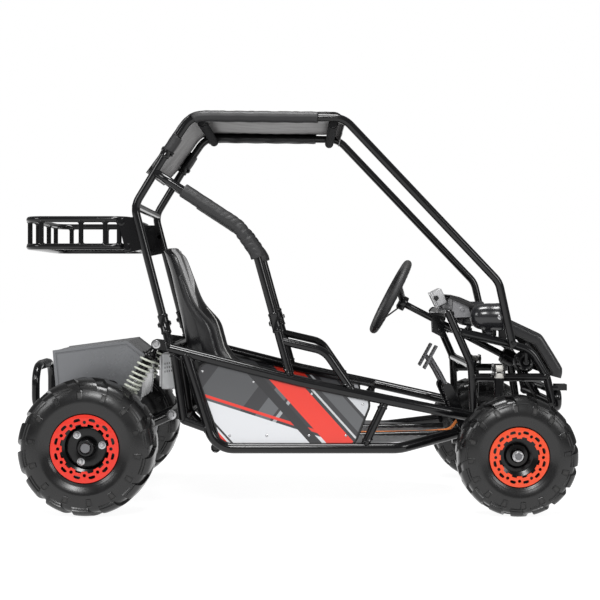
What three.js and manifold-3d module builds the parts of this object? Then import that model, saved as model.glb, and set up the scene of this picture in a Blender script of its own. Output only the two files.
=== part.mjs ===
// Off road go kart. Millimetres, +X forward, +Z up, Y = 0 on the centre plane, the ground at Z = 0.
import * as THREE from 'three';
import { mergeVertices } from 'three/addons/utils/BufferGeometryUtils.js';
import Module from 'manifold-3d';

const wasm = await Module();
wasm.setup();

// Driving dimensions of the whole kart.
const wheelbase = 1268;
const roofHeight = 1192;          // tube centre of the roof bars above the ground
const boxMidOffset = 17.2;        // from the middle between the axles to the middle of the length
const sideHalfWidth = 345;        // centre plane to the side frames
const cageInset = 35;             // the cage stands in from the side frames
const cageHalfWidth = sideHalfWidth - cageInset;        // centre plane to the roof bars and the hoop posts
const noseHalfWidth = 262;        // centre plane to the front posts and the nose tubes
const innerHalfWidth = 120;       // centre plane to the two inner floor tubes
const railDiameter = 32;
const cageTubeDiameter = 25;
const rackTubeDiameter = 19;
const fitGap = 0.3;               // clearance between pieces that touch
const overrun = 2;                // how far a cut runs past what it cuts
const sheetSteel = 3;
const plateSteel = 5;
const boltRadius = 5;

// Wheels: outside radius, width, bead radius and half the track.
const rearTyre = { radius: 203, width: 200, bead: 92, lugs: 14, track: 390 };
const frontTyre = { radius: 177.5, width: 145, bead: 79, lugs: 16, track: 407.5 };
const lugDepth = 9;
const vertexPerLug = 3;           // two on the lug's top and one in the groove
const lowestPoint = (tyre) => tyre.radius * Math.cos(Math.PI / (tyre.lugs * vertexPerLug));
const rearAxle = new THREE.Vector3(-wheelbase / 2, 0, lowestPoint(rearTyre));
const frontAxle = new THREE.Vector3(wheelbase / 2, 0, lowestPoint(frontTyre));

// Finishes.
const finish = (color, roughness, metalness) => new THREE.MeshStandardMaterial({ color, roughness, metalness });
const blackPaint = [0x0b0b0d, 0.22, 0.3];
const blackPlastic = [0x141416, 0.5, 0];
const blackLeather = [0x18181a, 0.45, 0];
const blackFabric = [0x1d1d20, 0.9, 0];
const rubber = [0x1b1b1c, 0.6, 0];
const greySteel = [0x74787c, 0.4, 0.7];
const aluminium = [0xb9bdc0, 0.35, 0.9];
const redPaint = [0xd8341f, 0.35, 0.1];
const orangePaint = [0xf0502c, 0.35, 0.1];
const panelPaint = [0x2f6fb5, 0.35, 0];
const springPaint = [0xe6e4dc, 0.4, 0.1];

const kart = new THREE.Group();
kart.position.x = boxMidOffset;
const sides = { right: -1, left: 1 };

// A closed geometry becomes a solid that can be joined and cut, and a solid becomes a geometry again.
function solid(geometry) {
  const bare = geometry.clone();
  bare.deleteAttribute('normal');
  bare.deleteAttribute('uv');
  const welded = mergeVertices(bare);
  return new wasm.Manifold(new wasm.Mesh({
    numProp: 3,
    vertProperties: new Float32Array(welded.attributes.position.array),
    triVerts: new Uint32Array(welded.index.array),
  }));
}

function geometryOf(body) {
  const mesh = body.getMesh();
  const geometry = new THREE.BufferGeometry();
  geometry.setAttribute('position', new THREE.BufferAttribute(new Float32Array(mesh.vertProperties), 3));
  geometry.setIndex(new THREE.BufferAttribute(new Uint32Array(mesh.triVerts), 1));
  return geometry;
}

const join = (bodies) => bodies.reduce((sum, body) => sum.add(body));

function piece(name, body, look) {
  const shape = body.isBufferGeometry ? body : geometryOf(body);
  const geometry = shape.index ? shape.toNonIndexed() : shape;
  geometry.computeVertexNormals();
  const mesh = new THREE.Mesh(geometry, finish(...look));
  mesh.name = name;
  kart.add(mesh);
  return mesh;
}

// A place given as shares of the wheelbase and the roof height, at a sideways distance.
const place = ([xShare, zShare], y) => new THREE.Vector3(xShare * wheelbase, y, zShare * roofHeight);
const route = (shares, y) => shares.map((share) => place(share, y));
const mirrored = (points) => points.map((point) => new THREE.Vector3(point.x, -point.y, point.z));
const shifted = (point, x, y, z) => new THREE.Vector3(point.x + x, point.y + y, point.z + z);
const along = (from, to, distance) => from.clone().addScaledVector(to.clone().sub(from).normalize(), distance);

// A path of straight runs joined by round bends, known at the stations where it starts, turns and ends.
class BentPath extends THREE.Curve {
  constructor(points, bendRadius, bendStep) {
    super();
    this.stations = [points[0].clone()];
    this.headings = [points[1].clone().sub(points[0]).normalize()];
    for (let index = 1; index < points.length - 1; index += 1) {
      this.bend(points[index - 1], points[index], points[index + 1], bendRadius, bendStep);
    }
    const last = points.length - 1;
    this.stations.push(points[last].clone());
    this.headings.push(points[last].clone().sub(points[last - 1]).normalize());
  }

  bend(before, corner, after, bendRadius, bendStep) {
    const into = corner.clone().sub(before).normalize();
    const out = after.clone().sub(corner).normalize();
    const turn = into.angleTo(out);
    const room = Math.min(before.distanceTo(corner), corner.distanceTo(after)) * 0.48;
    const cutBack = Math.min(bendRadius * Math.tan(turn / 2), room);
    const radius = cutBack / Math.tan(turn / 2);
    const axis = into.clone().cross(out).normalize();
    const inward = out.clone().sub(into).normalize();
    const centre = corner.clone().addScaledVector(inward, radius / Math.cos(turn / 2));
    const spoke = corner.clone().addScaledVector(into, -cutBack).sub(centre);
    const steps = Math.max(1, Math.round(turn / bendStep));
    for (let step = 0; step <= steps; step += 1) {
      const angle = turn * step / steps;
      this.stations.push(centre.clone().add(spoke.clone().applyAxisAngle(axis, angle)));
      this.headings.push(into.clone().applyAxisAngle(axis, angle));
    }
  }

  station(share) {
    return Math.round(share * (this.stations.length - 1));
  }

  getPoint(share) {
    return this.stations[this.station(share)].clone();
  }

  getPointAt(share) {
    return this.getPoint(share);
  }

  getTangentAt(share) {
    return this.headings[this.station(share)].clone();
  }
}

function disc(radius, corners) {
  const shape = new THREE.Shape();
  for (let corner = 0; corner < corners; corner += 1) {
    const angle = 2 * Math.PI * (corner + 0.5) / corners;
    const [across, up] = [radius * Math.cos(angle), radius * Math.sin(angle)];
    if (corner === 0) shape.moveTo(across, up);
    else shape.lineTo(across, up);
  }
  shape.closePath();
  return shape;
}

const bendStep = Math.PI / 6;

// Bent round tube, modelled solid, and a straight rod between two places.
function tube(points, radius, bendRadius = 3 * radius, corners = 6) {
  const path = new BentPath(points, bendRadius, bendStep);
  const steps = path.stations.length - 1;
  return solid(new THREE.ExtrudeGeometry(disc(radius, corners), { steps, extrudePath: path }));
}

const rod = (from, to, radius, corners = 6) => tube([from, to], radius, radius, corners);

// A rod along Y at a place, from one sideways distance to another.
function crossRod(centre, yFrom, yTo, radius, corners = 6) {
  return rod(shifted(centre, 0, yFrom, 0), shifted(centre, 0, yTo, 0), radius, corners);
}

function block(centre, x, y, z, tilt = 0) {
  const geometry = new THREE.BoxGeometry(x, y, z);
  geometry.rotateY(tilt);
  geometry.translate(centre.x, centre.y, centre.z);
  return solid(geometry);
}

// A flat plate that stands in the XZ plane: an outline of places, thick along Y from yFrom to yTo.
function standingPlate(outline, yFrom, yTo) {
  const shape = new THREE.Shape(outline.map((point) => new THREE.Vector2(point.x, point.z)));
  const geometry = new THREE.ExtrudeGeometry(shape, { depth: yTo - yFrom, bevelEnabled: false });
  geometry.rotateX(Math.PI / 2);
  geometry.translate(0, yTo, 0);
  return solid(geometry);
}

// Points of a polygon with its corners rounded, in the XZ plane.
function rounded(corners, radius, steps = 3) {
  const points = [];
  corners.forEach((corner, index) => {
    const before = corners[(index + corners.length - 1) % corners.length];
    const after = corners[(index + 1) % corners.length];
    const start = along(corner, before, radius);
    const end = along(corner, after, radius);
    for (let step = 0; step <= steps; step += 1) {
      const share = step / steps;
      const first = start.clone().lerp(corner, share);
      points.push(first.lerp(corner.clone().lerp(end, share), share));
    }
  });
  return points;
}

// A sheet with a thickness: a grid of places for its outer face, and the same grid set back along its normals.
function sheet(grid, thickness) {
  const rows = grid.length;
  const columns = grid[0].length;
  const front = new THREE.BufferGeometry();
  front.setAttribute('position', new THREE.Float32BufferAttribute(grid.flat().flatMap((p) => [p.x, p.y, p.z]), 3));
  const faces = [];
  for (let row = 0; row < rows - 1; row += 1) {
    for (let column = 0; column < columns - 1; column += 1) {
      const corner = row * columns + column;
      faces.push(corner, corner + 1, corner + columns, corner + 1, corner + columns + 1, corner + columns);
    }
  }
  front.setIndex(faces);
  front.computeVertexNormals();
  const normals = front.attributes.normal;
  const outer = grid.flat();
  const inner = outer.map((point, index) => point.clone().addScaledVector(
    new THREE.Vector3().fromBufferAttribute(normals, index), -thickness));
  const count = outer.length;
  const triangles = [...faces];
  for (let face = 0; face < faces.length; face += 3) {
    triangles.push(faces[face] + count, faces[face + 2] + count, faces[face + 1] + count);
  }
  const rim = [];
  for (let column = 0; column < columns; column += 1) rim.push(column);
  for (let row = 1; row < rows; row += 1) rim.push(row * columns + columns - 1);
  for (let column = columns - 2; column >= 0; column -= 1) rim.push((rows - 1) * columns + column);
  for (let row = rows - 2; row > 0; row -= 1) rim.push(row * columns);
  rim.forEach((here, index) => {
    const next = rim[(index + 1) % rim.length];
    triangles.push(next, here, here + count, next, here + count, next + count);
  });
  const geometry = new THREE.BufferGeometry();
  const places = [...outer, ...inner].flatMap((p) => [p.x, p.y, p.z]);
  geometry.setAttribute('position', new THREE.Float32BufferAttribute(places, 3));
  geometry.setIndex(triangles);
  return geometry;
}

// A closed ring round the Y axis from rings of places: a neighbour ring has the same count or a multiple of it.
function ringStack(rings) {
  const places = [];
  const starts = rings.map((ring) => {
    const start = places.length / 3;
    ring.forEach((point) => places.push(point.x, point.y, point.z));
    return start;
  });
  const triangles = [];
  rings.forEach((ring, index) => {
    const other = rings[(index + 1) % rings.length];
    const [a, b] = [starts[index], starts[(index + 1) % rings.length]];
    const [n, m] = [ring.length, other.length];
    const few = Math.min(n, m);
    for (let step = 0; step < few; step += 1) {
      const [perA, perB] = [n / few, m / few];
      for (let part = 0; part < perA; part += 1) {
        const from = a + (step * perA + part) % n;
        const to = a + (step * perA + part + 1) % n;
        triangles.push(to, from, b + (step * perB) % m);
      }
      for (let part = 0; part < perB; part += 1) {
        const from = b + (step * perB + part) % m;
        const to = b + (step * perB + part + 1) % m;
        triangles.push(from, to, a + ((step + 1) * perA) % n);
      }
    }
  });
  const geometry = new THREE.BufferGeometry();
  geometry.setAttribute('position', new THREE.Float32BufferAttribute(places, 3));
  geometry.setIndex(triangles);
  return geometry;
}

// A turned ring round an axis along Y, from a closed profile of [radius, sideways] pairs.
function turned(profile, centre, segments) {
  const closed = [...profile, profile[0]].map(([radius, y]) => new THREE.Vector2(radius, y));
  const geometry = new THREE.LatheGeometry(closed, segments);
  geometry.rotateY(Math.PI / segments);
  geometry.translate(centre.x, centre.y, centre.z);
  return solid(geometry);
}

// Frame stations: [share of the wheelbase from its middle, share of the roof height].
const railShares = [[-0.313, 0.41], [-0.005, 0.327], [0.2, 0.281], [0.351, 0.247]];
const railNoseShare = [0.413, 0.233];
const rearTubeShares = [[-0.274, 0.397], [-0.206, 0.159]];
const lowerRailShare = [0.232, 0.159];
const lowerNoseShare = [0.375, 0.187];
const uprightShares = [[-0.304, 0.402], [-0.281, 0.23]];
const uprightLinkShare = [-0.219, 0.206];
const diagonalShares = [[0.196, 0.273], [0.149, 0.168]];
const guardShares = [[-0.051, 0.43], [0.054, 0.404], [0.118, 0.305]];
const shoulderFootShares = [[-0.069, 0.5], [-0.028, 0.341]];
const hoopFootShares = [[-0.334, 0.495], [-0.313, 0.408]];
const shoulderShares = [[-0.069, 0.5], [-0.109, 0.654], [-0.152, 0.719], [-0.356, 0.861]];
const hoopShares = [[-0.33, 0.896], [-0.401, 0.771], [-0.334, 0.495]];
const roofShares = [[-0.33, 0.896], [-0.263, 1], [0.1, 0.995], [0.472, 0.578], [0.507, 0.412]];
const postShares = [[0.353, 0.502], [0.41, 0.364], [0.415, 0.247], [0.411, 0.187]];
const noseTopShares = [[0.38, 0.449], [0.502, 0.419], [0.554, 0.402], [0.592, 0.333], [0.605, 0.269]];
const floorRearShare = [-0.206, 0.159];
const floorFrontShare = [0.372, 0.175];
const swingPivotShare = [-0.326, 0.226];
const shockTopShare = [-0.356, 0.416];
const shockFootShare = [-0.446, 0.252];

const railRadius = railDiameter / 2;
const cageRadius = cageTubeDiameter / 2;
const railBend = 75;
const cageBend = 70;
const railTaperShare = 0.89;      // sideways place of the rail's last bend before it turns in to the nose
const collarWall = 3.5;
const collarLength = 60;
const shoulderHalfWidth = sideHalfWidth - 5;

// Side frames: the rails, the tubes between them and the feet that the cage bolts to.
const postPath = (y) => route(postShares, y);
function boltedFoot(shares, yTop, yFoot, grow = 0) {
  const top = place(shares[0], yTop);
  const foot = place(shares[1], yFoot);
  const collarEnd = along(top, foot, collarLength);
  return join([
    rod(along(top, foot, -grow), foot, cageRadius + grow),
    rod(along(top, foot, -grow), collarEnd, cageRadius + collarWall + grow),
  ]);
}

function sideRails(side, grow = 0) {
  const y = side * sideHalfWidth;
  const railPoints = [...route(railShares.slice(0, 3), y), place(railShares[3], y * railTaperShare)];
  railPoints.push(place(railNoseShare, side * noseHalfWidth));
  const lowerPoints = [...route(rearTubeShares, y), place(lowerRailShare, y)];
  lowerPoints.push(place(lowerNoseShare, side * (noseHalfWidth - cageTubeDiameter)));
  return join([
    tube(railPoints, railRadius + grow, railBend),
    tube(lowerPoints, railRadius + grow, railBend),
    rod(...route(uprightShares, y), cageRadius + grow),
    rod(place(uprightShares[1], y), place(uprightLinkShare, y), cageRadius + grow),
    rod(...route(diagonalShares, y), cageRadius + grow),
  ]);
}

function cageFeet(side, grow = 0) {
  const y = side * sideHalfWidth;
  return boltedFoot(shoulderFootShares, side * shoulderHalfWidth, y, grow)
    .add(boltedFoot(hoopFootShares, side * cageHalfWidth, side * (sideHalfWidth - cageRadius), grow));
}

function sideFrame(side) {
  const y = side * sideHalfWidth;
  const guard = tube([place(guardShares[0], side * shoulderHalfWidth), ...route(guardShares.slice(1), y)],
    cageRadius, cageBend);
  return join([
    sideRails(side),
    guard,
    cageFeet(side),
  ]).subtract(tube(postPath(side * noseHalfWidth), cageRadius + fitGap, cageBend));
}

for (const [hand, side] of Object.entries(sides)) {
  piece(`side_frame_${hand}`, sideFrame(side), blackPaint);
}

// Floor frame: inner tubes and cross tubes, the rear tower, the seat posts and the swing arm's ears.
const floorCrossShares = [-0.205, 0.02, 0.2];
const floorLevel = floorRearShare[1] * roofHeight;
const crossEnd = sideHalfWidth - railRadius - fitGap;
const seatBase = { rearShare: -0.17, frontShare: -0.005, levelShare: 0.207, post: 11 };
const seatLevel = seatBase.levelShare * roofHeight;
const rearCross = place(railShares[0], 0);
const swingPivot = place(swingPivotShare, 0);
const shockTop = place(shockTopShare, 0);
const shockHalfWidth = 200;
const earThickness = 5;
const earHalf = 16;
const swingHubHalf = 118;
const shockEyeHalf = 12;

function ear(at, towards, y, halfSize) {
  const reach = towards.clone().sub(at).normalize().multiplyScalar(halfSize);
  const sideways = new THREE.Vector3(-reach.z, 0, reach.x);
  const corners = [
    towards.clone().add(sideways), towards.clone().sub(sideways),
    at.clone().sub(sideways).sub(reach), at.clone().add(sideways).sub(reach),
  ];
  return standingPlate(rounded(corners, halfSize * 0.8, 1), y - earThickness / 2, y + earThickness / 2);
}

function floorFrame() {
  const bodies = [];
  for (const side of Object.values(sides)) {
    const y = side * innerHalfWidth;
    const tower = route([railShares[0], ...uprightShares, floorRearShare, floorFrontShare], y);
    bodies.push(tube(tower, cageRadius, cageBend));
    for (const share of [seatBase.rearShare, seatBase.frontShare]) {
      const foot = new THREE.Vector3(share * wheelbase, y, floorLevel);
      const top = shifted(foot, 0, 0, seatLevel - floorLevel - fitGap);
      bodies.push(rod(foot, top, seatBase.post));
    }
    const earGap = earThickness / 2 + fitGap;
    for (const edge of [-1, 1]) {
      const shockEar = side * shockHalfWidth + edge * (shockEyeHalf + earGap);
      bodies.push(ear(shockTop, rearCross, shockEar, earHalf));
    }
    bodies.push(ear(swingPivot, place(uprightShares[1], 0), side * (swingHubHalf + earGap), earHalf));
  }
  for (const share of floorCrossShares) {
    const centre = new THREE.Vector3(share * wheelbase, 0, floorLevel);
    bodies.push(crossRod(centre, -crossEnd, crossEnd, cageRadius));
  }
  const towerEnd = sideHalfWidth - cageRadius - fitGap;
  bodies.push(crossRod(place(uprightShares[1], 0), -towerEnd, towerEnd, cageRadius));
  const rearEnd = towerEnd - cageRadius;
  bodies.push(crossRod(rearCross, -rearEnd, rearEnd, cageRadius));
  return join(bodies).subtract(cageFeet(1, fitGap)).subtract(cageFeet(-1, fitGap));
}
piece('floor_frame', floorFrame(), blackPaint);

// Front suspension stations, shared by the nose frame's ears and the arms.
const noseFloorShare = 0.16;
const noseFloor = noseFloorShare * roofHeight;
const armRise = 16.28;
const armPivotOut = 32;
const armPivot = {
  x: frontAxle.x, y: innerHalfWidth + armPivotOut, z: noseFloor + armRise, half: 55, radius: 12,
};
const kingpinInset = 102.5;
const kingpinRise = 0.88;
const kingpin = {
  x: frontAxle.x, y: frontTyre.track - kingpinInset, z: frontAxle.z + kingpinRise, radius: 15, half: 20,
};
const noseMidShares = [[0.413, 0.333], [0.594, 0.333]];
const shockBehind = 34;
const shockInset = 13;
const shockRise = 28.064;
const shockFootRise = 34;
const frontShock = {
  x: frontAxle.x - shockBehind, y: kingpin.y - shockInset, top: noseMidShares[0][1] * roofHeight + shockRise,
  foot: kingpin.z + shockFootRise, radius: 15, rod: 7,
};
const rackAhead = 70;
const rackRise = 54.28;
const rack = {
  x: frontAxle.x + rackAhead, z: noseFloor + rackRise, radius: 10, half: 150, housing: 18, housingHalf: 62,
};
const columnShares = [[0.259464, 0.520973], [0.511830, 0.381711]];
const [columnTop, columnFoot] = route(columnShares, 0);
const columnRadius = 11;
const gearBox = { radius: 26, long: 60 };
const pedalShare = [0.365931, 0.295302];
const pedal = { y: 90, hubRadius: 10, hubHalf: 18 };

// Nose frame: posts, nose tubes, cross bars, steering gear housing, ears, pedal stand, hood stays and horn.
const crossBarShares = [[0.357, 0.495], [0.41, 0.364], [0.411, 0.187], [0.502, 0.419], [0.605, 0.269]];
const noseInnerShares = [[0.3752, noseFloorShare], [0.585, noseFloorShare], [0.605, 0.269]];
const stayHalfWidth = 120;
const stayShares = [[0.502, 0.419], [0.502, 0.4775]];
const stayWidth = 24;
const bumperStandShare = [0.597, 0.305];
const bumperAhead = 150;
const bumperPlane = frontAxle.x + bumperAhead;
const horn = { radius: 34, depth: 26, share: [0.542, 0.372], y: 226 };
const columnPlate = { half: 17, thickness: 4, reach: 64, height: 78 };

function steeringHousing() {
  const axis = columnFoot.clone().sub(columnTop).normalize();
  const boxStart = columnFoot.clone().addScaledVector(axis, fitGap);
  const boxEnd = boxStart.clone().addScaledVector(axis, gearBox.long);
  const boxMiddle = boxStart.clone().lerp(boxEnd, 0.5);
  const rackMiddle = new THREE.Vector3(rack.x, 0, rack.z);
  const housing = crossRod(rackMiddle, -rack.housingHalf, rack.housingHalf, rack.housing, 8);
  const bore = crossRod(rackMiddle, -rack.half, rack.half, rack.radius + fitGap, 8);
  const bodies = [
    rod(boxStart, boxEnd, gearBox.radius, 8),
    rod(boxMiddle, shifted(rackMiddle, 0, 0, rack.housing * 0.8), rack.housing * 0.7),
    housing,
  ];
  for (const edge of [-1, 1]) {
    const foot = new THREE.Vector3(rack.x, edge * rack.housingHalf * 0.8, noseFloor);
    bodies.push(rod(foot, shifted(foot, 0, 0, rack.z - foot.z), rack.housing * 0.6));
  }
  const floorBar = new THREE.Vector3(rack.x, 0, noseFloor);
  bodies.push(crossRod(floorBar, -innerHalfWidth, innerHalfWidth, cageRadius));
  bodies.push(rod(boxEnd, place(crossBarShares[4], 0), cageRadius));
  return join(bodies).subtract(bore);
}

function armEars(side) {
  const bodies = [];
  for (const edge of [-1, 1]) {
    const x = armPivot.x + edge * (armPivot.half + fitGap + earThickness / 2);
    const low = noseFloor;
    const high = armPivot.z + armPivot.radius;
    const inner = innerHalfWidth - cageRadius;
    const outer = armPivot.y + armPivot.radius;
    const centre = new THREE.Vector3(x, side * (inner + outer) / 2, (low + high) / 2);
    bodies.push(block(centre, earThickness, outer - inner, high - low));
  }
  return join(bodies);
}

function shockTab(side) {
  const tubeLevel = noseMidShares[0][1] * roofHeight;
  const bodies = [];
  const thickness = earThickness;
  for (const edge of [-1, 1]) {
    const x = frontShock.x + edge * (shockEyeHalf + fitGap + thickness / 2);
    const inner = noseHalfWidth - cageRadius / 2;
    const outer = frontShock.y + frontShock.radius;
    const low = tubeLevel + cageRadius * 0.5;
    const high = frontShock.top + frontShock.radius;
    bodies.push(block(new THREE.Vector3(x, side * (inner + outer) / 2, (low + high) / 2),
      thickness, outer - inner, high - low));
  }
  return join(bodies);
}

function pedalStand() {
  const foot = place(crossBarShares[2], 0);
  const bodies = [];
  for (const side of Object.values(sides)) {
    for (const edge of [-1, 1]) {
      const y = side * pedal.y + edge * (pedal.hubHalf + fitGap + earThickness / 2);
      const pivot = place(pedalShare, 0);
      bodies.push(ear(pivot, foot, y, pedal.hubRadius * 1.6));
    }
  }
  return join(bodies);
}

function columnPlates() {
  const bar = place(crossBarShares[0], 0);
  const axis = columnFoot.clone().sub(columnTop).normalize();
  const below = shifted(bar, 0, 0, -columnPlate.height);
  const corners = [
    shifted(bar, -columnPlate.reach / 2, 0, 0), shifted(bar, cageRadius * 0.8, 0, 0),
    below.clone().addScaledVector(axis, columnPlate.reach / 6), below.clone().addScaledVector(axis, -columnPlate.reach / 2),
  ];
  const inner = columnPlate.half;
  const outer = inner + columnPlate.thickness;
  return join([
    standingPlate(corners, inner, outer),
    standingPlate(corners, -outer, -inner),
  ]);
}

function noseFrame() {
  const bodies = [steeringHousing(), pedalStand(), columnPlates()];
  for (const side of Object.values(sides)) {
    const y = side * noseHalfWidth;
    bodies.push(
      tube(postPath(y), cageRadius, cageBend),
      tube(route(noseTopShares, y), cageRadius, cageBend),
      rod(...route(noseMidShares, y), cageRadius),
      tube(route(noseInnerShares, side * innerHalfWidth), cageRadius, cageBend),
      armEars(side),
      shockTab(side),
      rod(place(bumperStandShare, y), new THREE.Vector3(bumperPlane, y, bumperStandShare[1] * roofHeight),
        cageRadius * 0.7),
    );
    const stayFoot = place(stayShares[0], side * stayHalfWidth);
    const stayTop = place(stayShares[1], side * stayHalfWidth);
    bodies.push(block(stayFoot.clone().lerp(stayTop, 0.5), stayWidth, plateSteel, stayTop.z - stayFoot.z));
  }
  for (const share of crossBarShares) {
    bodies.push(crossRod(place(share, 0), -noseHalfWidth, noseHalfWidth, cageRadius));
  }
  bodies.push(crossRod(place(horn.share, 0), -noseHalfWidth, -horn.y, horn.radius, 10));
  const hornBar = place(horn.share, -noseHalfWidth);
  bodies.push(rod(hornBar, place([horn.share[0], noseTopShares[1][1]], -noseHalfWidth), cageRadius / 2));
  return join(bodies);
}
const bumperLoopGrown = () => bumperLoop(fitGap);
const bumper = { highShare: 0.294, lowShare: 0.255, bend: 24 };
function bumperLoop(grow = 0) {
  const high = bumper.highShare * roofHeight;
  const low = bumper.lowShare * roofHeight;
  const top = new THREE.Vector3(bumperPlane, 0, high);
  const ends = [];
  const half = noseHalfWidth - cageRadius;
  for (const side of Object.values(sides)) {
    const corners = [
      new THREE.Vector3(bumperPlane, side * half * 0.8, high), new THREE.Vector3(bumperPlane, side * (half + cageRadius), high),
      new THREE.Vector3(bumperPlane, side * (half + cageRadius), low), new THREE.Vector3(bumperPlane, side * half * 0.8, low),
    ];
    ends.push(tube(corners, cageRadius + grow, bumper.bend));
  }
  const below = shifted(top, 0, 0, low - high);
  return join([
    ...ends,
    crossRod(top, -half * 0.8 - overrun, half * 0.8 + overrun, cageRadius + grow),
    crossRod(below, -half * 0.8 - overrun, half * 0.8 + overrun, cageRadius + grow),
  ]);
}
piece('nose_frame', noseFrame().subtract(bumperLoopGrown()), blackPaint);

// Front bumper: a flat loop on stand-offs, with two small brackets whose faces look forward.
const bracket = { reach: 36.5, width: 44, height: 20, y: 200 };
function frontBumper() {
  const level = bumper.highShare * roofHeight + cageRadius;
  const bodies = [bumperLoop()];
  for (const side of Object.values(sides)) {
    const centre = new THREE.Vector3(bumperPlane + bracket.reach / 2, side * bracket.y, level);
    bodies.push(block(centre, bracket.reach, bracket.width, bracket.height));
  }
  return join(bodies);
}
piece('front_bumper', frontBumper(), blackPaint);

// Floor pan: one plate on the floor tubes, narrowed in front where the rails turn in.
const floorPan = { edgeShares: [-0.16, 0.2, 0.372], frontHalf: 190, thickness: 2.5 };
function floorPanBody() {
  const half = sideHalfWidth - railRadius - fitGap - overrun;
  const [rear, middle, front] = floorPan.edgeShares.map((share) => share * wheelbase);
  const shape = new THREE.Shape([[rear, -half], [middle, -half], [front, -floorPan.frontHalf],
    [front, floorPan.frontHalf], [middle, half], [rear, half]].map(([x, y]) => new THREE.Vector2(x, y)));
  const geometry = new THREE.ExtrudeGeometry(shape, { depth: floorPan.thickness, bevelEnabled: false });
  geometry.translate(0, 0, floorLevel + cageRadius + fitGap);
  const posts = [];
  for (const side of Object.values(sides)) {
    const foot = new THREE.Vector3(seatBase.frontShare * wheelbase, side * innerHalfWidth, floorLevel);
    const upper = shifted(foot, 0, 0, seatLevel - floorLevel);
    posts.push(rod(foot, upper, seatBase.post + fitGap));
  }
  return solid(geometry).subtract(join(posts)).subtract(sideRails(1, fitGap)).subtract(sideRails(-1, fitGap))
    .subtract(tube(route(floorTubeShares, innerHalfWidth), cageRadius + fitGap))
    .subtract(tube(route(floorTubeShares, -innerHalfWidth), cageRadius + fitGap));
}
const floorTubeShares = [floorRearShare, floorFrontShare];
piece('floor_pan', floorPanBody(), aluminium);

// Roof cage: side bars from the hoop's bolts over the roof and down to the nose tubes, with cross bars.
const roofFootHalfWidth = noseHalfWidth + cageTubeDiameter + fitGap;
const roofCrossShares = [[-0.24, 0.986], [0.075, 0.981]];
function roofPoints(side) {
  const y = side * cageHalfWidth;
  const points = route(roofShares.slice(0, 3), y);
  const lean = side * (cageHalfWidth + roofFootHalfWidth) / 2;
  points.push(place(roofShares[3], lean), place(roofShares[4], side * roofFootHalfWidth));
  points[0] = along(points[0], points[1], fitGap);
  return points;
}
function roofCollars(grow = 0) {
  return join(Object.values(sides).map((side) => {
    const points = roofPoints(side);
    return rod(points[0], along(points[0], points[1], collarLength * 0.6), cageRadius + collarWall + grow);
  }));
}
function roofCage() {
  const bodies = [];
  for (const side of Object.values(sides)) {
    const points = roofPoints(side);
    bodies.push(tube(points, cageRadius, cageBend));
  }
  for (const share of roofCrossShares) {
    bodies.push(crossRod(place(share, 0), -cageHalfWidth, cageHalfWidth, cageRadius));
  }
  return join(bodies).add(roofCollars()).subtract(hoopPosts(fitGap));
}

// Rear hoop: the posts, the shoulder hoop across the back and a cross bar that carries the rack's plates.
const shoulderPath = (() => {
  const near = route(shoulderShares, -shoulderHalfWidth);
  near[0] = along(near[0], near[1], fitGap);
  return [...near, ...mirrored(near).reverse()];
})();
const hoopCrossShare = [-0.397, 0.771];
function hoopPosts(grow = 0) {
  return join(Object.values(sides).map((side) => {
    const points = route(hoopShares, side * cageHalfWidth);
    points[0] = along(points[0], points[1], -grow);
    points[2] = along(points[2], points[1], fitGap);
    return tube(points, cageRadius + grow, cageBend);
  }));
}
function rearHoop() {
  return tube(shoulderPath, cageRadius, cageBend).add(hoopPosts())
    .add(crossRod(place(hoopCrossShare, 0), -cageHalfWidth, cageHalfWidth, cageRadius))
    .subtract(cageFeet(1, fitGap)).subtract(cageFeet(-1, fitGap));
}
piece('roof_cage', roofCage(), blackPaint);
piece('rear_hoop', rearHoop(), blackPaint);

// Shoulder pads: foam sleeves round the shoulder hoop.
const padRadius = 21.5;
const padEndShares = [0.64, 0.1];
function barPad(side) {
  const y = side * shoulderHalfWidth;
  const [foot, low, high, corner] = route(shoulderShares, y);
  const points = [high.clone().lerp(corner, padEndShares[0]), high, low, low.clone().lerp(foot, padEndShares[1])];
  return tube(points, padRadius, cageBend, 8).subtract(tube(shoulderPath, cageRadius + fitGap, cageBend));
}
for (const [hand, side] of Object.entries(sides)) piece(`bar_pad_${hand}`, barPad(side), blackFabric);

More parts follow.
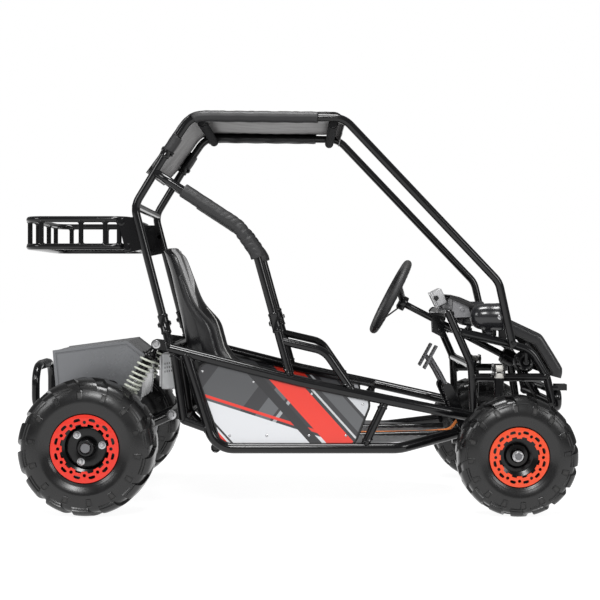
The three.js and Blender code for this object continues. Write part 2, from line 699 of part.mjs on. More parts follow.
// Rear rack: two rail loops, posts, a mesh floor and the plates that hold it to the hoop's posts.
const rackGap = 8;                // between the rack's loops and the hoop's posts
const rackFrame = {
  half: cageHalfWidth - (cageTubeDiameter + rackTubeDiameter) / 2 - rackGap,
  frontShare: -0.42, rearShare: -0.663, highShare: 0.739, lowShare: 0.669, bend: 50,
};
const rackPostShares = [-0.532, -0.44];
const rackPlate = { thickness: 4, cornerShares: [[-0.444, 0.744], [-0.391, 0.744], [-0.374, 0.663], [-0.423, 0.652]] };
const rackPinShare = [-0.389, 0.71];
const meshThickness = 2;
function rearRack() {
  const radius = rackTubeDiameter / 2;
  const bodies = [];
  const front = rackFrame.frontShare * wheelbase;
  const rear = rackFrame.rearShare * wheelbase;
  for (const share of [rackFrame.highShare, rackFrame.lowShare]) {
    const z = share * roofHeight;
    const loop = [[front, -1], [rear, -1], [rear, 1], [front, 1]];
    bodies.push(tube(loop.map(([x, side]) => new THREE.Vector3(x, side * rackFrame.half, z)), radius, rackFrame.bend, 6));
  }
  const [high, low] = [rackFrame.highShare * roofHeight, rackFrame.lowShare * roofHeight];
  const upright = (x, y) => rod(new THREE.Vector3(x, y, low), new THREE.Vector3(x, y, high), radius * 0.8, 4);
  for (const side of Object.values(sides)) {
    for (const share of rackPostShares) bodies.push(upright(share * wheelbase, side * rackFrame.half));
    bodies.push(upright(rear, side * rackFrame.half / 3));
    bodies.push(upright(rear, side * rackFrame.half * 0.8));
    const inner = rackFrame.half + radius * 0.7;
    const outer = rackFrame.half + radius + rackPlate.thickness;
    const plate = rackPlate.cornerShares.map((share) => place(share, 0));
    const [yFrom, yTo] = side > 0 ? [inner, outer] : [-outer, -inner];
    bodies.push(standingPlate(rounded(plate, rackTubeDiameter / 2), yFrom, yTo));
    const post = place(rackPinShare, 0);
    const seat = cageHalfWidth - cageRadius / 2;
    bodies.push(crossRod(post, side * outer - side * overrun, side * seat, boltRadius * 1.6));
  }
  const floor = new THREE.Vector3((front + rear) / 2, 0, low);
  bodies.push(block(floor, front - rear, 2 * rackFrame.half, meshThickness));
  bodies.push(crossRod(new THREE.Vector3(front, 0, low), -rackFrame.half, rackFrame.half, radius));
  return join(bodies).subtract(hoopPosts(fitGap));
}
piece('rear_rack', rearRack(), blackPaint);

// Canopy: one sheet over the roof bars, sagging between them, with side sleeves and a rear flap.
const canopy = { thickness: 2.5, play: 0.9, drop: 34, sag: 26, fold: 7, wave: 3 };
const canopyFrontShare = [0.042, 0.996];
const canopyRearShares = [[-0.263, 1], [-0.33, 0.896], [-0.366, 0.85]];
const flapWidthShare = 0.86;
function canopyGrid() {
  const lift = cageRadius + canopy.thickness + canopy.play;
  const rear = canopyRearShares.map((share) => place(share, 0));
  const front = place(canopyFrontShare, 0);
  const spine = [front];
  const roofRuns = 5;
  for (let run = 1; run < roofRuns; run += 1) spine.push(front.clone().lerp(rear[0], run / roofRuns));
  const bendAt = along(rear[0], front, cageBend * 0.28);
  spine.push(bendAt, along(rear[0], rear[1], cageBend * 0.28), rear[0].clone().lerp(rear[1], 0.6), rear[1], rear[2]);
  const acrossShares = [-1, -0.84, -0.56, -0.28, 0, 0.28, 0.56, 0.84, 1];
  return spine.map((point, row) => {
    const before = spine[Math.max(0, row - 1)];
    const after = spine[Math.min(spine.length - 1, row + 1)];
    const heading = after.clone().sub(before).normalize();
    const up = new THREE.Vector3(heading.z, 0, -heading.x);
    const narrow = row >= spine.length - 2 ? flapWidthShare : 1;
    const line = (y, height) => point.clone().addScaledVector(up, height).setY(y * narrow);
    const sideways = cageHalfWidth + lift;
    const hem = lift - canopy.drop - cageRadius - canopy.wave * Math.sin(row * 2.1);
    const wrap = [[sideways + canopy.wave, hem], [sideways + fitGap, 0], [sideways - cageRadius * 0.3, lift * 0.72],
      [cageHalfWidth, lift]];
    const slack = Math.sin(Math.PI * Math.min(1, row / roofRuns));
    const middle = acrossShares.map((share) => {
      const y = share * (cageHalfWidth - cageRadius * 1.4);
      const belly = 1 - share * share;
      const folds = canopy.fold * belly * Math.sin(share * 7 + row * 0.9);
      return line(y, lift - (canopy.sag * slack * 0.4 * belly + folds * slack) - canopy.thickness * belly);
    });
    return [...wrap.map(([y, height]) => line(-y, height)), ...middle, ...wrap.reverse().map(([y, height]) => line(y, height))];
  });
}
const crossBarsGrown = join(roofCrossShares.map((share) => crossRod(place(share, 0), -cageHalfWidth, cageHalfWidth,
  cageRadius + fitGap)));
const roofBarsGrown = join(Object.values(sides).map((side) => tube(roofPoints(side), cageRadius + fitGap, cageBend)));
piece('canopy', solid(sheet(canopyGrid(), canopy.thickness)).subtract(crossBarsGrown).subtract(roofBarsGrown)
  .subtract(hoopPosts(fitGap)).subtract(roofCollars(fitGap)).subtract(tube(shoulderPath, cageRadius + fitGap, cageBend)),
  blackFabric);

// Seat: a bucket with bolsters, lofted from its foot up to its head.
const seat = { halfWidth: 236, bolsterShare: 0.62, channel: 5 };
// Each station: back face, middle of the cushion, bolster edge, as shares of the wheelbase and roof height; width share.
const seatStationShares = [
  [[0.006, 0.212], [0.037, 0.236], [0.037, 0.262], 0.8],
  [[0.004, 0.207], [0.028, 0.262], [0.026, 0.302], 0.92],
  [[-0.03, 0.207], [-0.03, 0.266], [-0.03, 0.318], 0.98],
  [[-0.09, 0.207], [-0.09, 0.257], [-0.09, 0.332], 1],
  [[-0.15, 0.207], [-0.148, 0.252], [-0.14, 0.346], 1],
  [[-0.213, 0.224], [-0.185, 0.268], [-0.17, 0.362], 1],
  [[-0.247, 0.29], [-0.213, 0.317], [-0.186, 0.379], 1],
  [[-0.272, 0.36], [-0.236, 0.366], [-0.199, 0.402], 1],
  [[-0.286, 0.42], [-0.252, 0.42], [-0.206, 0.428], 1],
  [[-0.297, 0.48], [-0.266, 0.478], [-0.22, 0.47], 1],
  [[-0.31, 0.54], [-0.281, 0.537], [-0.262, 0.523], 0.98],
  [[-0.323, 0.6], [-0.296, 0.597], [-0.288, 0.59], 0.95],
  [[-0.338, 0.65], [-0.311, 0.647], [-0.307, 0.642], 0.9],
  [[-0.343, 0.66], [-0.322, 0.664], [-0.321, 0.66], 0.82],
];
const seatAcrossShares = [-1, -0.9, -0.74, -0.6, -0.56, -0.5, -0.22, 0, 0.22, 0.5, 0.56, 0.6, 0.74, 0.9, 1];
function seatBody() {
  const rings = seatStationShares.map(([back, middle, edge, width], row) => {
    const backAt = place(back, 0);
    const middleAt = place(middle, 0);
    const edgeAt = place(edge, 0);
    const half = width * seat.halfWidth;
    const front = seatAcrossShares.map((share) => {
      const size = Math.abs(share);
      const rise = size < seat.bolsterShare ? 0.16 * (size / seat.bolsterShare) ** 2
        : Math.sin(Math.PI / 2 * Math.min(1, (size - seat.bolsterShare) / 0.22 * 0.85 + 0.18));
      const roundOff = size > 0.99 ? 0.55 : rise;
      const point = middleAt.clone().lerp(edgeAt, roundOff);
      const channel = Math.abs(size - 0.56) < 0.01 ? seat.channel : 0;
      const crown = size < seat.bolsterShare ? seat.channel * Math.cos(Math.PI / 2 * size / seat.bolsterShare) : 0;
      const inward = backAt.clone().sub(middleAt).normalize();
      return point.addScaledVector(inward, channel - crown * Math.min(1, row / 2)).setY(share * half);
    });
    const rear = [0.93, 0.6, 0, -0.6, -0.93].map((share) => {
      const lean = Math.abs(share) > 0.9 ? 0.25 : 0;
      return backAt.clone().lerp(edgeAt, lean).setY(share * half);
    });
    return [...front, ...rear];
  });
  return loft(rings);
}

// A closed body lofted through rings of equal count, with a flat fan over each end.
function loft(rings) {
  const count = rings[0].length;
  const places = rings.flat();
  const triangles = [];
  for (let row = 0; row < rings.length - 1; row += 1) {
    for (let step = 0; step < count; step += 1) {
      const [a, b] = [row * count + step, row * count + (step + 1) % count];
      triangles.push(a, b, a + count, b, b + count, a + count);
    }
  }
  for (const [row, turn] of [[0, 1], [rings.length - 1, -1]]) {
    const middle = places.length;
    const centre = rings[row].reduce((sum, point) => sum.add(point), new THREE.Vector3()).divideScalar(count);
    places.push(centre);
    for (let step = 0; step < count; step += 1) {
      const [a, b] = [row * count + step, row * count + (step + 1) % count];
      if (turn > 0) triangles.push(b, a, middle);
      else triangles.push(a, b, middle);
    }
  }
  const geometry = new THREE.BufferGeometry();
  geometry.setAttribute('position', new THREE.Float32BufferAttribute(places.flatMap((p) => [p.x, p.y, p.z]), 3));
  geometry.setIndex(triangles);
  return geometry;
}
piece('seat', seatBody(), blackLeather);

// Side panels: thin plates that fill the side frames between the rear tube and the diagonal.
const panelShares = [[-0.262, 0.385], [0.17, 0.29], [0.123, 0.165], [-0.19, 0.165]];
function sidePanel(side) {
  const corners = rounded(panelShares.map((share) => place(share, 0)), railDiameter);
  const y = side * sideHalfWidth;
  return standingPlate(corners, y - sheetSteel / 2, y + sheetSteel / 2).subtract(sideRails(side, fitGap));
}
for (const [hand, side] of Object.entries(sides)) piece(`side_panel_${hand}`, sidePanel(side), panelPaint);

// Front cowl: a ribbed sheet from the dash over the nose, with its edges turned down.
const cowl = { half: 178, edge: 40, rib: 5, thickness: 3 };
const cowlShares = [[0.368, 0.545], [0.44, 0.512], [0.516, 0.478], [0.592, 0.445], [0.622, 0.405], [0.641, 0.355],
  [0.64, 0.332]];
const cowlAcrossShares = [-1, -0.86, -0.74, -0.54, -0.46, -0.26, -0.14, 0.14, 0.26, 0.46, 0.54, 0.74, 0.86, 1];
function cowlGrid() {
  const spine = route(cowlShares, 0);
  return spine.map((point, row) => {
    const before = spine[Math.max(0, row - 1)];
    const after = spine[Math.min(spine.length - 1, row + 1)];
    const heading = after.clone().sub(before).normalize();
    const up = new THREE.Vector3(-heading.z, 0, heading.x);
    const line = (y, height) => point.clone().addScaledVector(up, height).setY(y);
    const ribbed = cowlAcrossShares.map((share, column) => line(share * cowl.half, column % 4 < 2 ? 0 : cowl.rib));
    return [line(-cowl.half - cowl.thickness, -cowl.edge), ...ribbed, line(cowl.half + cowl.thickness, -cowl.edge)];
  }).map((row) => row.reverse());
}
// Its legs stand on the nose's cross bar.
const cowlLeg = { y: 64, radius: 6 };
function cowlBody() {
  const bar = place(crossBarShares[3], 0);
  const [behind, ahead] = route(cowlShares.slice(1, 3), 0);
  const level = behind.lerp(ahead, (bar.x - behind.x) / (ahead.x - behind.x)).z - cowl.thickness * 0.45;
  const legs = Object.values(sides).map((side) => rod(shifted(bar, 0, side * cowlLeg.y, 0),
    shifted(bar, 0, side * cowlLeg.y, level - bar.z), cowlLeg.radius));
  return join([solid(sheet(cowlGrid(), cowl.thickness)), ...legs])
    .subtract(crossRod(bar, -noseHalfWidth, noseHalfWidth, cageRadius + fitGap));
}
piece('cowl', cowlBody(), blackPlastic);

// Dash: a bent plate under the cowl, with side plates, and the driver's display on the top cross bar.
const dashShares = [[0.368, 0.484], [0.372, 0.538]];
const dashSideShares = [[0.368, 0.484], [0.418, 0.486], [0.412, 0.515], [0.372, 0.534]];
const dashHalf = 168;
const dashTab = 24;
function dashPanel() {
  const [low, high] = dashShares.map((share) => place(share, 0));
  const face = [low, shifted(low, sheetSteel, 0, 0), shifted(high, sheetSteel, 0, 0), high].reverse();
  const bodies = [standingPlate(face, -dashHalf, dashHalf)];
  const plate = dashSideShares.map((share) => place(share, 0)).reverse();
  bodies.push(standingPlate(plate, dashHalf - sheetSteel, dashHalf), standingPlate(plate, -dashHalf, sheetSteel - dashHalf));
  const bar = place(crossBarShares[0], 0);
  for (const side of Object.values(sides)) {
    const tabMiddle = new THREE.Vector3((bar.x + low.x) / 2, side * dashHalf / 2, bar.z);
    bodies.push(block(tabMiddle, low.x - bar.x + 2 * sheetSteel, dashTab, dashTab / 2));
  }
  return join(bodies).subtract(crossRod(bar, -noseHalfWidth, noseHalfWidth, cageRadius + fitGap));
}
piece('dash_panel', dashPanel(), greySteel);

const display = { depth: 26, width: 84, height: 54, tiltAngle: -0.45, foot: 9 };
function displayBody() {
  const bar = place(crossBarShares[0], 0);
  const centre = shifted(bar, -display.depth * 0.62, 0, display.height * 0.84);
  return block(centre, display.depth, display.width, display.height, display.tiltAngle).add(rod(bar, centre, display.foot))
    .subtract(crossRod(bar, -noseHalfWidth, noseHalfWidth, cageRadius + fitGap));
}
piece('display', displayBody(), aluminium);

// Headlights: bullet bodies with the lens forward, each on a stalk from the upper nose tube.
const headlight = { radius: 40, long: 107, y: 228, xShare: 0.452, zShare: 0.488, stalk: 9 };
function headlightBody(side) {
  const outline = [[0, -0.5], [0.36, -0.485], [0.62, -0.43], [0.84, -0.31], [0.95, -0.14], [1, 0.1], [1, 0.4], [0.9, 0.46],
    [0.55, 0.5], [0, 0.5]];
  const points = outline.map(([r, x]) => new THREE.Vector2(r * headlight.radius, x * headlight.long));
  const shell = new THREE.LatheGeometry(points, 12);
  shell.rotateZ(-Math.PI / 2);
  const centre = new THREE.Vector3(headlight.xShare * wheelbase, side * headlight.y, headlight.zShare * roofHeight);
  shell.translate(centre.x, centre.y, centre.z);
  const noseTop = noseTopShares[0][1] + (noseTopShares[1][1] - noseTopShares[0][1]) * (headlight.xShare - noseTopShares[0][0])
    / (noseTopShares[1][0] - noseTopShares[0][0]);
  const foot = new THREE.Vector3(centre.x, side * noseHalfWidth, noseTop * roofHeight);
  const grownTube = tube(route(noseTopShares, side * noseHalfWidth), cageRadius + fitGap, cageBend);
  return solid(shell).add(rod(foot, shifted(centre, 0, 0, -headlight.radius * 0.8), headlight.stalk)).subtract(grownTube);
}
for (const [hand, side] of Object.entries(sides)) piece(`headlight_${hand}`, headlightBody(side), blackPaint);

// Controller box: an aluminium box with a finned cover on the rear tower.
const controller = {
  frontShare: -0.311, zShare: 0.341, y: 58 - innerHalfWidth, width: 130, depth: 50, height: 112, fins: 7, finDepth: 7, reach: 20,
};
function controllerBox() {
  const front = controller.frontShare * wheelbase;
  const centre = new THREE.Vector3(front - controller.depth / 2, controller.y, controller.zShare * roofHeight);
  const bodies = [block(centre, controller.depth, controller.width, controller.height)];
  const pitch = controller.width / controller.fins;
  for (let fin = 0; fin < controller.fins; fin += 1) {
    const y = controller.y - controller.width / 2 + pitch * (fin + 0.5);
    const at = new THREE.Vector3(centre.x - controller.depth / 2 - controller.finDepth / 2, y, centre.z);
    bodies.push(block(at, controller.finDepth + overrun, pitch * 0.35, controller.height * 0.86));
  }
  const towerShares = [uprightShares[0], uprightShares[1]];
  const stand = new THREE.Vector3(front, -innerHalfWidth, centre.z);
  bodies.push(block(shifted(stand, controller.reach * 0.2, 0, 0), controller.reach * 1.4, boltRadius * 3, controller.height * 0.5));
  return join(bodies).subtract(tube(route(towerShares, -innerHalfWidth), cageRadius + fitGap));
}
piece('controller_box', controllerBox(), aluminium);

// Swing arm: a pivot tube, two arms to the axle carriers, cross bars for the shocks and posts for the box.
const axleRadius = 15;
const arm = { half: 140, radius: 16, carrier: 33, carrierWidth: 30, tailShare: -0.532 };
const shockFoot = place(shockFootShare, 0);
const boxFootShare = -0.59;
const box = { half: 165 };
// Outline of the box's side, seen square on.
const boxShares = [[-0.617, 0.398], [-0.432, 0.424], [-0.388, 0.388], [-0.398, 0.268], [-0.604, 0.24]];
function swingArm() {
  const bodies = [crossRod(swingPivot, -swingHubHalf, swingHubHalf, cageRadius + collarWall)];
  const tail = new THREE.Vector3(arm.tailShare * wheelbase, 0, rearAxle.z);
  bodies.push(crossRod(shockFoot, -shockHalfWidth + shockEyeHalf + fitGap + earThickness,
    shockHalfWidth - shockEyeHalf - fitGap - earThickness, cageRadius));
  for (const side of Object.values(sides)) {
    const y = side * (swingHubHalf - arm.radius * 1.7);
    const path = [shifted(swingPivot, 0, y, 0), shifted(rearAxle, arm.carrier * 2, side * arm.half, 0),
      shifted(tail, 0, side * arm.half, 0)];
    bodies.push(tube(path, arm.radius, railBend));
    bodies.push(crossRod(rearAxle, side * arm.half - arm.carrierWidth / 2, side * arm.half + arm.carrierWidth / 2,
      arm.carrier, 12));
    const shockPost = shifted(shockFoot, 0, side * (arm.half - arm.radius), 0);
    bodies.push(rod(new THREE.Vector3(shockPost.x, shockPost.y, rearAxle.z), shockPost, cageRadius));
    for (const edge of [-1, 1]) {
      const y = side * shockHalfWidth + edge * (shockEyeHalf + fitGap + earThickness / 2);
      if (edge === -side) bodies.push(ear(shockFoot, shifted(shockFoot, -earHalf, 0, 0), y, earHalf));
    }
    const boxFloor = boxLevel(boxFootShare) - fitGap;
    const rearPost = new THREE.Vector3(boxFootShare * wheelbase, side * arm.half, boxFloor - plateSteel);
    bodies.push(rod(shifted(rearAxle, 0, side * arm.half, arm.carrier * 0.75), rearPost, cageRadius * 0.9));
    bodies.push(block(rearPost, arm.radius * 3, arm.radius * 2, plateSteel, boxTilt));
  }
  for (const side of Object.values(sides)) {
    bodies.push(ear(shockFoot, place(motor.share, 0), side * motor.earY, earHalf));
  }
  const cut = crossRod(rearAxle, -arm.half * 2, arm.half * 2, axleRadius + fitGap, 12);
  return join(bodies).subtract(cut).subtract(batteryBox(fitGap)).subtract(motorBody(fitGap));
}
const boxTilt = -Math.atan2((boxShares[3][1] - boxShares[4][1]) * roofHeight, (boxShares[3][0] - boxShares[4][0]) * wheelbase);
function boxLevel(xShare) {
  const [[rearX, rearZ], [frontX, frontZ]] = [boxShares[4], boxShares[3]];
  return (rearZ + (frontZ - rearZ) * (xShare - rearX) / (frontX - rearX)) * roofHeight;
}

// Battery box: folded sheet steel with a shallow lid, on the swing arm.
function batteryBox(grow = 0) {
  const outline = boxShares.map((share) => place(share, 0)).reverse();
  const low = outline.reduce((sum, point) => sum.add(point), new THREE.Vector3()).divideScalar(outline.length);
  const grown = outline.map((point) => along(point, low, -grow * 1.4));
  return standingPlate(grown, -box.half - grow, box.half + grow);
}
piece('battery_box', batteryBox(), greySteel);

// Drive motor under the box, with its mounting plate on the right arm.
const motor = { share: [-0.413, 0.182], radius: 52, from: -84, to: 44, shaft: 9, shaftEnd: 66, earY: 32 };
function motorBody(grow = 0) {
  const centre = place(motor.share, 0);
  return crossRod(centre, motor.from - grow, motor.to + grow, motor.radius + grow, 12)
    .add(crossRod(centre, motor.to - overrun, motor.shaftEnd + grow, motor.shaft + grow));
}
piece('drive_motor', motorBody(), greySteel);
piece('swing_arm', swingArm(), blackPaint);

// Rear bumper: an inverted hoop on the ends of the swing arm, with a ribbed sleeve on its cross bar.
const bumperHoopShares = [[-0.56, 0.17], [-0.615, 0.2], [-0.662, 0.25], [-0.662, 0.3555]];
const sleeve = { ribs: 9, pitch: 12, depth: 3 };
function rearBumper() {
  const near = route(bumperHoopShares, -arm.half);
  near.unshift(new THREE.Vector3(arm.tailShare * wheelbase - fitGap, -arm.half, rearAxle.z));
  const path = [...near, ...mirrored(near).reverse()];
  const bodies = [tube(path, cageRadius, cageBend)];
  const top = place(bumperHoopShares[3], 0);
  const width = sleeve.ribs * sleeve.pitch;
  bodies.push(crossRod(top, -width / 2, width / 2, cageRadius + sleeve.depth));
  return join(bodies);
}
piece('rear_bumper', rearBumper(), blackPaint);

// Rear axle with its brake disc hub, the chain sprocket and the brake disc.
const sprocket = { radius: 66, thickness: 6, y: 72, teeth: 18, tooth: 5 };
const brake = { radius: 74, thickness: 5, y: -100, hub: 24, hubWidth: 26 };
const axleTail = 72;
const axleEnd = rearTyre.track + axleTail;

function toothedRing(bore, radius, teeth, tooth, thickness, y) {
  const shape = new THREE.Shape();
  for (let index = 0; index < teeth * 2; index += 1) {
    const reach = index % 2 ? radius : radius - tooth;
    const angle = Math.PI * index / teeth;
    const [x, z] = [reach * Math.cos(angle), reach * Math.sin(angle)];
    if (index === 0) shape.moveTo(x, z);
    else shape.lineTo(x, z);
  }
  const hole = new THREE.Path();
  hole.absarc(0, 0, bore, 0, 2 * Math.PI, true);
  shape.holes.push(hole);
  const geometry = new THREE.ExtrudeGeometry(shape, { depth: thickness, bevelEnabled: false, curveSegments: 6 });
  geometry.rotateX(Math.PI / 2);
  geometry.translate(rearAxle.x, y + thickness / 2, rearAxle.z);
  return solid(geometry);
}
const hubPlay = 0.9;
const hubBore = axleRadius + hubPlay;
const hubRing = (y) => turned([[hubBore, y - brake.hubWidth / 2], [brake.hub, y - brake.hubWidth / 2],
  [brake.hub, y + brake.hubWidth / 2], [hubBore, y + brake.hubWidth / 2]], rearAxle, 12);
piece('drive_sprocket', toothedRing(brake.hub - overrun, sprocket.radius, sprocket.teeth, sprocket.tooth,
  sprocket.thickness, sprocket.y).add(hubRing(sprocket.y)), greySteel);
const discProfile = [[axleRadius - overrun, brake.y - brake.thickness / 2], [brake.radius, brake.y - brake.thickness / 2],
  [brake.radius, brake.y + brake.thickness / 2], [axleRadius - overrun, brake.y + brake.thickness / 2]];
piece('rear_axle', crossRod(rearAxle, -axleEnd, axleEnd, axleRadius, 12).add(turned(discProfile, rearAxle, 16))
  .add(crossRod(rearAxle, brake.y - brake.hubWidth / 2, brake.y + brake.hubWidth / 2, brake.hub, 10)), greySteel);

// Tyres: a hollow carcass with lugs that run over the crown and down the shoulders.
const rimPlay = 0.3;
function tyre(size, centre) {
  const half = size.width / 2;
  const fine = size.lugs * vertexPerLug;
  const ring = (radius, y, count, lug = 0) => Array.from({ length: count }, (_, index) => {
    const angle = 2 * Math.PI * (index + 0.5) / count;
    const high = index % vertexPerLug !== 1;
    const reach = radius - (high ? 0 : lug);
    return new THREE.Vector3(centre.x + reach * Math.sin(angle), centre.y + y, centre.z - reach * Math.cos(angle));
  });
  const coarse = size.lugs;
  const wall = lugDepth;
  return ringStack([
    ring(size.bead, -half * 0.7, coarse),
    ring(size.radius * 0.74, -half * 0.99, coarse),
    ring(size.radius * 0.88, -half, coarse),
    ring(size.radius * 0.965, -half * 0.86, fine, lugDepth),
    ring(size.radius, -half * 0.5, fine, lugDepth),
    ring(size.radius, half * 0.5, fine, lugDepth),
    ring(size.radius * 0.965, half * 0.86, fine, lugDepth),
    ring(size.radius * 0.88, half, coarse),
    ring(size.radius * 0.74, half * 0.99, coarse),
    ring(size.bead, half * 0.7, coarse),
    ring(size.bead + wall, half * 0.55, coarse),
    ring(size.radius * 0.82, half * 0.72, coarse),
    ring(size.radius * 0.82, -half * 0.72, coarse),
    ring(size.bead + wall, -half * 0.55, coarse),
  ]);
}

// Rims: barrel, flanges, disc and hub turned as one, with bolts on the disc. Sideways is positive outwards.
function rim(size, centre, outward, wheel) {
  const y = (sideways) => outward * sideways;
  const half = size.width / 2 * 0.78;
  const seatRadius = size.bead - rimPlay;
  const barrel = seatRadius - wheel.wall;
  const profile = [
    [wheel.bore, y(wheel.disc)], [barrel, y(wheel.disc)],
    [barrel, y(-half)], [seatRadius, y(-half)], [seatRadius, y(half + rimPlay)], [wheel.flange, y(half + rimPlay)],
    [wheel.flange, y(half + wheel.wall)], [barrel, y(half + wheel.wall)], [barrel, y(wheel.disc + wheel.wall)],
    [wheel.hub, y(wheel.disc + wheel.wall)], [wheel.hub, y(wheel.hubOut)], [wheel.bore, y(wheel.hubOut)],
  ];
  const body = turned(outward < 0 ? profile.reverse() : profile, centre, size.lugs);
  const bolts = [];
  for (let index = 0; index < wheel.bolts; index += 1) {
    const angle = 2 * Math.PI * index / wheel.bolts + 0.14;
    const at = shifted(centre, wheel.boltCircle * Math.cos(angle), 0, wheel.boltCircle * Math.sin(angle));
    const [low, high] = [wheel.disc + overrun / 2, wheel.disc + wheel.wall + wheel.boltHeight].map(y).sort((p, q) => p - q);
    bolts.push(crossRod(at, low, high, wheel.boltRadius, 6));
  }
  return bolts.length ? join([body, ...bolts]) : body;
}

// Trim ring: a flat ring bolted on the outer flange, with a castellated inner edge.
function trimRing(size, centre, outward, wheel) {
  const shape = new THREE.Shape();
  shape.absarc(0, 0, wheel.flange, 0, 2 * Math.PI, false);
  const hole = new THREE.Path();
  const tabs = 12;
  const corners = tabs * 4;
  for (let index = 0; index < corners; index += 1) {
    const reach = Math.floor((index + 1) / 2) % 2 ? wheel.ringBore + wheel.ringTab : wheel.ringBore;
    const angle = -2 * Math.PI * index / corners;
    const [x, z] = [reach * Math.cos(angle), reach * Math.sin(angle)];
    if (index === 0) hole.moveTo(x, z);
    else hole.lineTo(x, z);
  }
  shape.holes.push(hole);
  const geometry = new THREE.ExtrudeGeometry(shape, { depth: wheel.ringThickness, bevelEnabled: false, curveSegments: 12 });
  geometry.rotateX(Math.PI / 2);
  const inner = size.width / 2 * 0.78 + wheel.wall + rimPlay;
  const middle = outward * (inner + wheel.ringThickness / 2);
  geometry.translate(centre.x, centre.y + middle + wheel.ringThickness / 2, centre.z);
  return geometry;
}

const rearWheel = {
  bore: hubBore, hub: 27, hubOut: 66, disc: 32, wall: 3.5, flange: 100, bolts: 3, boltCircle: 46,
  boltRadius: 7, boltHeight: 9, ringBore: 72, ringTab: 5, ringThickness: 4,
};
const spindleRadius = 10;
const frontWheel = {
  bore: spindleRadius + fitGap, hub: 20, hubOut: 34, disc: 12, wall: 3.5, flange: 87, bolts: 0,
  ringBore: 56, ringTab: 4, ringThickness: 4,
};
for (const [hand, side] of Object.entries(sides)) {
  for (const [end, size, axle, wheel] of [['rear', rearTyre, rearAxle, rearWheel], ['front', frontTyre, frontAxle, frontWheel]]) {
    const centre = shifted(axle, 0, side * size.track, 0);
    piece(`${end}_tyre_${hand}`, tyre(size, centre), rubber);
    piece(`${end}_rim_${hand}`, rim(size, centre, side, wheel), blackPaint);
    piece(`${end}_ring_${hand}`, trimRing(size, centre, side, wheel), end === 'rear' ? redPaint : orangePaint);
  }
}

// Rear shock absorbers: body with its upper seat, rod with its lower seat, and the coil spring between them.
const shock = {
  body: 15, rod: 6, eye: 13, seat: 27, seatThickness: 5,
  neckShare: 0.12, bodyShare: 0.56, seatTopShare: 0.17, seatFootShare: 0.87,
};
const coil = { wire: 3.3, mean: 22.6, curlCount: 9.5, stepCount: 8, cornerCount: 5 };
const shockLength = shockTop.distanceTo(shockFoot);
function shockParts(side) {
  const y = side * shockHalfWidth;
  const top = shifted(shockTop, 0, y, 0);
  const foot = shifted(shockFoot, 0, y, 0);
  const at = (share) => top.clone().lerp(foot, share);
  const eye = (centre) => crossRod(centre, -shockEyeHalf, shockEyeHalf, shock.eye, 10);
  const seatAt = (share) => rod(at(share), at(share + shock.seatThickness / shockLength), shock.seat, 14);
  const rodHole = rod(at(shock.seatTopShare + 0.1), at(shock.bodyShare + 0.1), shock.rod + fitGap, 8);
  const neck = rod(top, at(shock.neckShare + overrun / shockLength), shock.eye * 0.85, 8);
  const body = join([eye(top), neck, rod(at(shock.neckShare), at(shock.bodyShare), shock.body, 8), seatAt(shock.seatTopShare)])
    .subtract(rodHole);
  const rodBody = join([eye(foot), rod(at(shock.bodyShare - 0.14), at(0.97), shock.rod, 8), seatAt(shock.seatFootShare)]);
  return { body, rodBody, top, foot };
}

// Coil spring: one unbroken wire along a helix between the seats, closer wound at its foot.
function coilSpring(top, foot) {
  const heading = foot.clone().sub(top).normalize();
  const sideways = new THREE.Vector3(0, 1, 0);
  const across = heading.clone().cross(sideways);
  const start = shock.seatTopShare * shockLength + shock.seatThickness + coil.wire + fitGap;
  const end = shock.seatFootShare * shockLength - coil.wire - fitGap;
  const steps = Math.round(coil.curlCount * coil.stepCount);
  const tightening = 0.2;
  const centres = [];
  for (let step = 0; step <= steps; step += 1) {
    const share = step / steps;
    const eased = share + tightening * share * (1 - share);
    const angle = 2 * Math.PI * coil.curlCount * share;
    centres.push(top.clone().addScaledVector(heading, start + (end - start) * eased)
      .addScaledVector(sideways, coil.mean * Math.cos(angle)).addScaledVector(across, coil.mean * Math.sin(angle)));
  }
  const rings = centres.map((centre, index) => {
    const before = centres[Math.max(0, index - 1)];
    const after = centres[Math.min(steps, index + 1)];
    const tangent = after.clone().sub(before).normalize();
    const angle = 2 * Math.PI * coil.curlCount * index / steps;
    const outward = sideways.clone().multiplyScalar(Math.cos(angle)).addScaledVector(across, Math.sin(angle));
    const side = tangent.clone().cross(outward).normalize();
    return Array.from({ length: coil.cornerCount }, (_, corner) => {
      const turn = 2 * Math.PI * corner / coil.cornerCount;
      return centre.clone().addScaledVector(outward, coil.wire * Math.cos(turn)).addScaledVector(side, coil.wire * Math.sin(turn));
    });
  });
  let least = Infinity;
  centres.forEach((centre, index) => {
    for (let other = index + coil.stepCount / 2; other <= steps; other += 1) {
      least = Math.min(least, centre.distanceTo(centres[other]) - 2 * coil.wire);
    }
  });
  console.log(`spring: least gap between its curls ${least.toFixed(2)} mm`);
  return loft(rings);
}
for (const [hand, side] of Object.entries(sides)) {
  const parts = shockParts(side);
  piece(`rear_shock_body_${hand}`, parts.body, blackPaint);
  piece(`rear_shock_rod_${hand}`, parts.rodBody, greySteel);
  piece(`rear_spring_${hand}`, coilSpring(parts.top, parts.foot), springPaint);
}

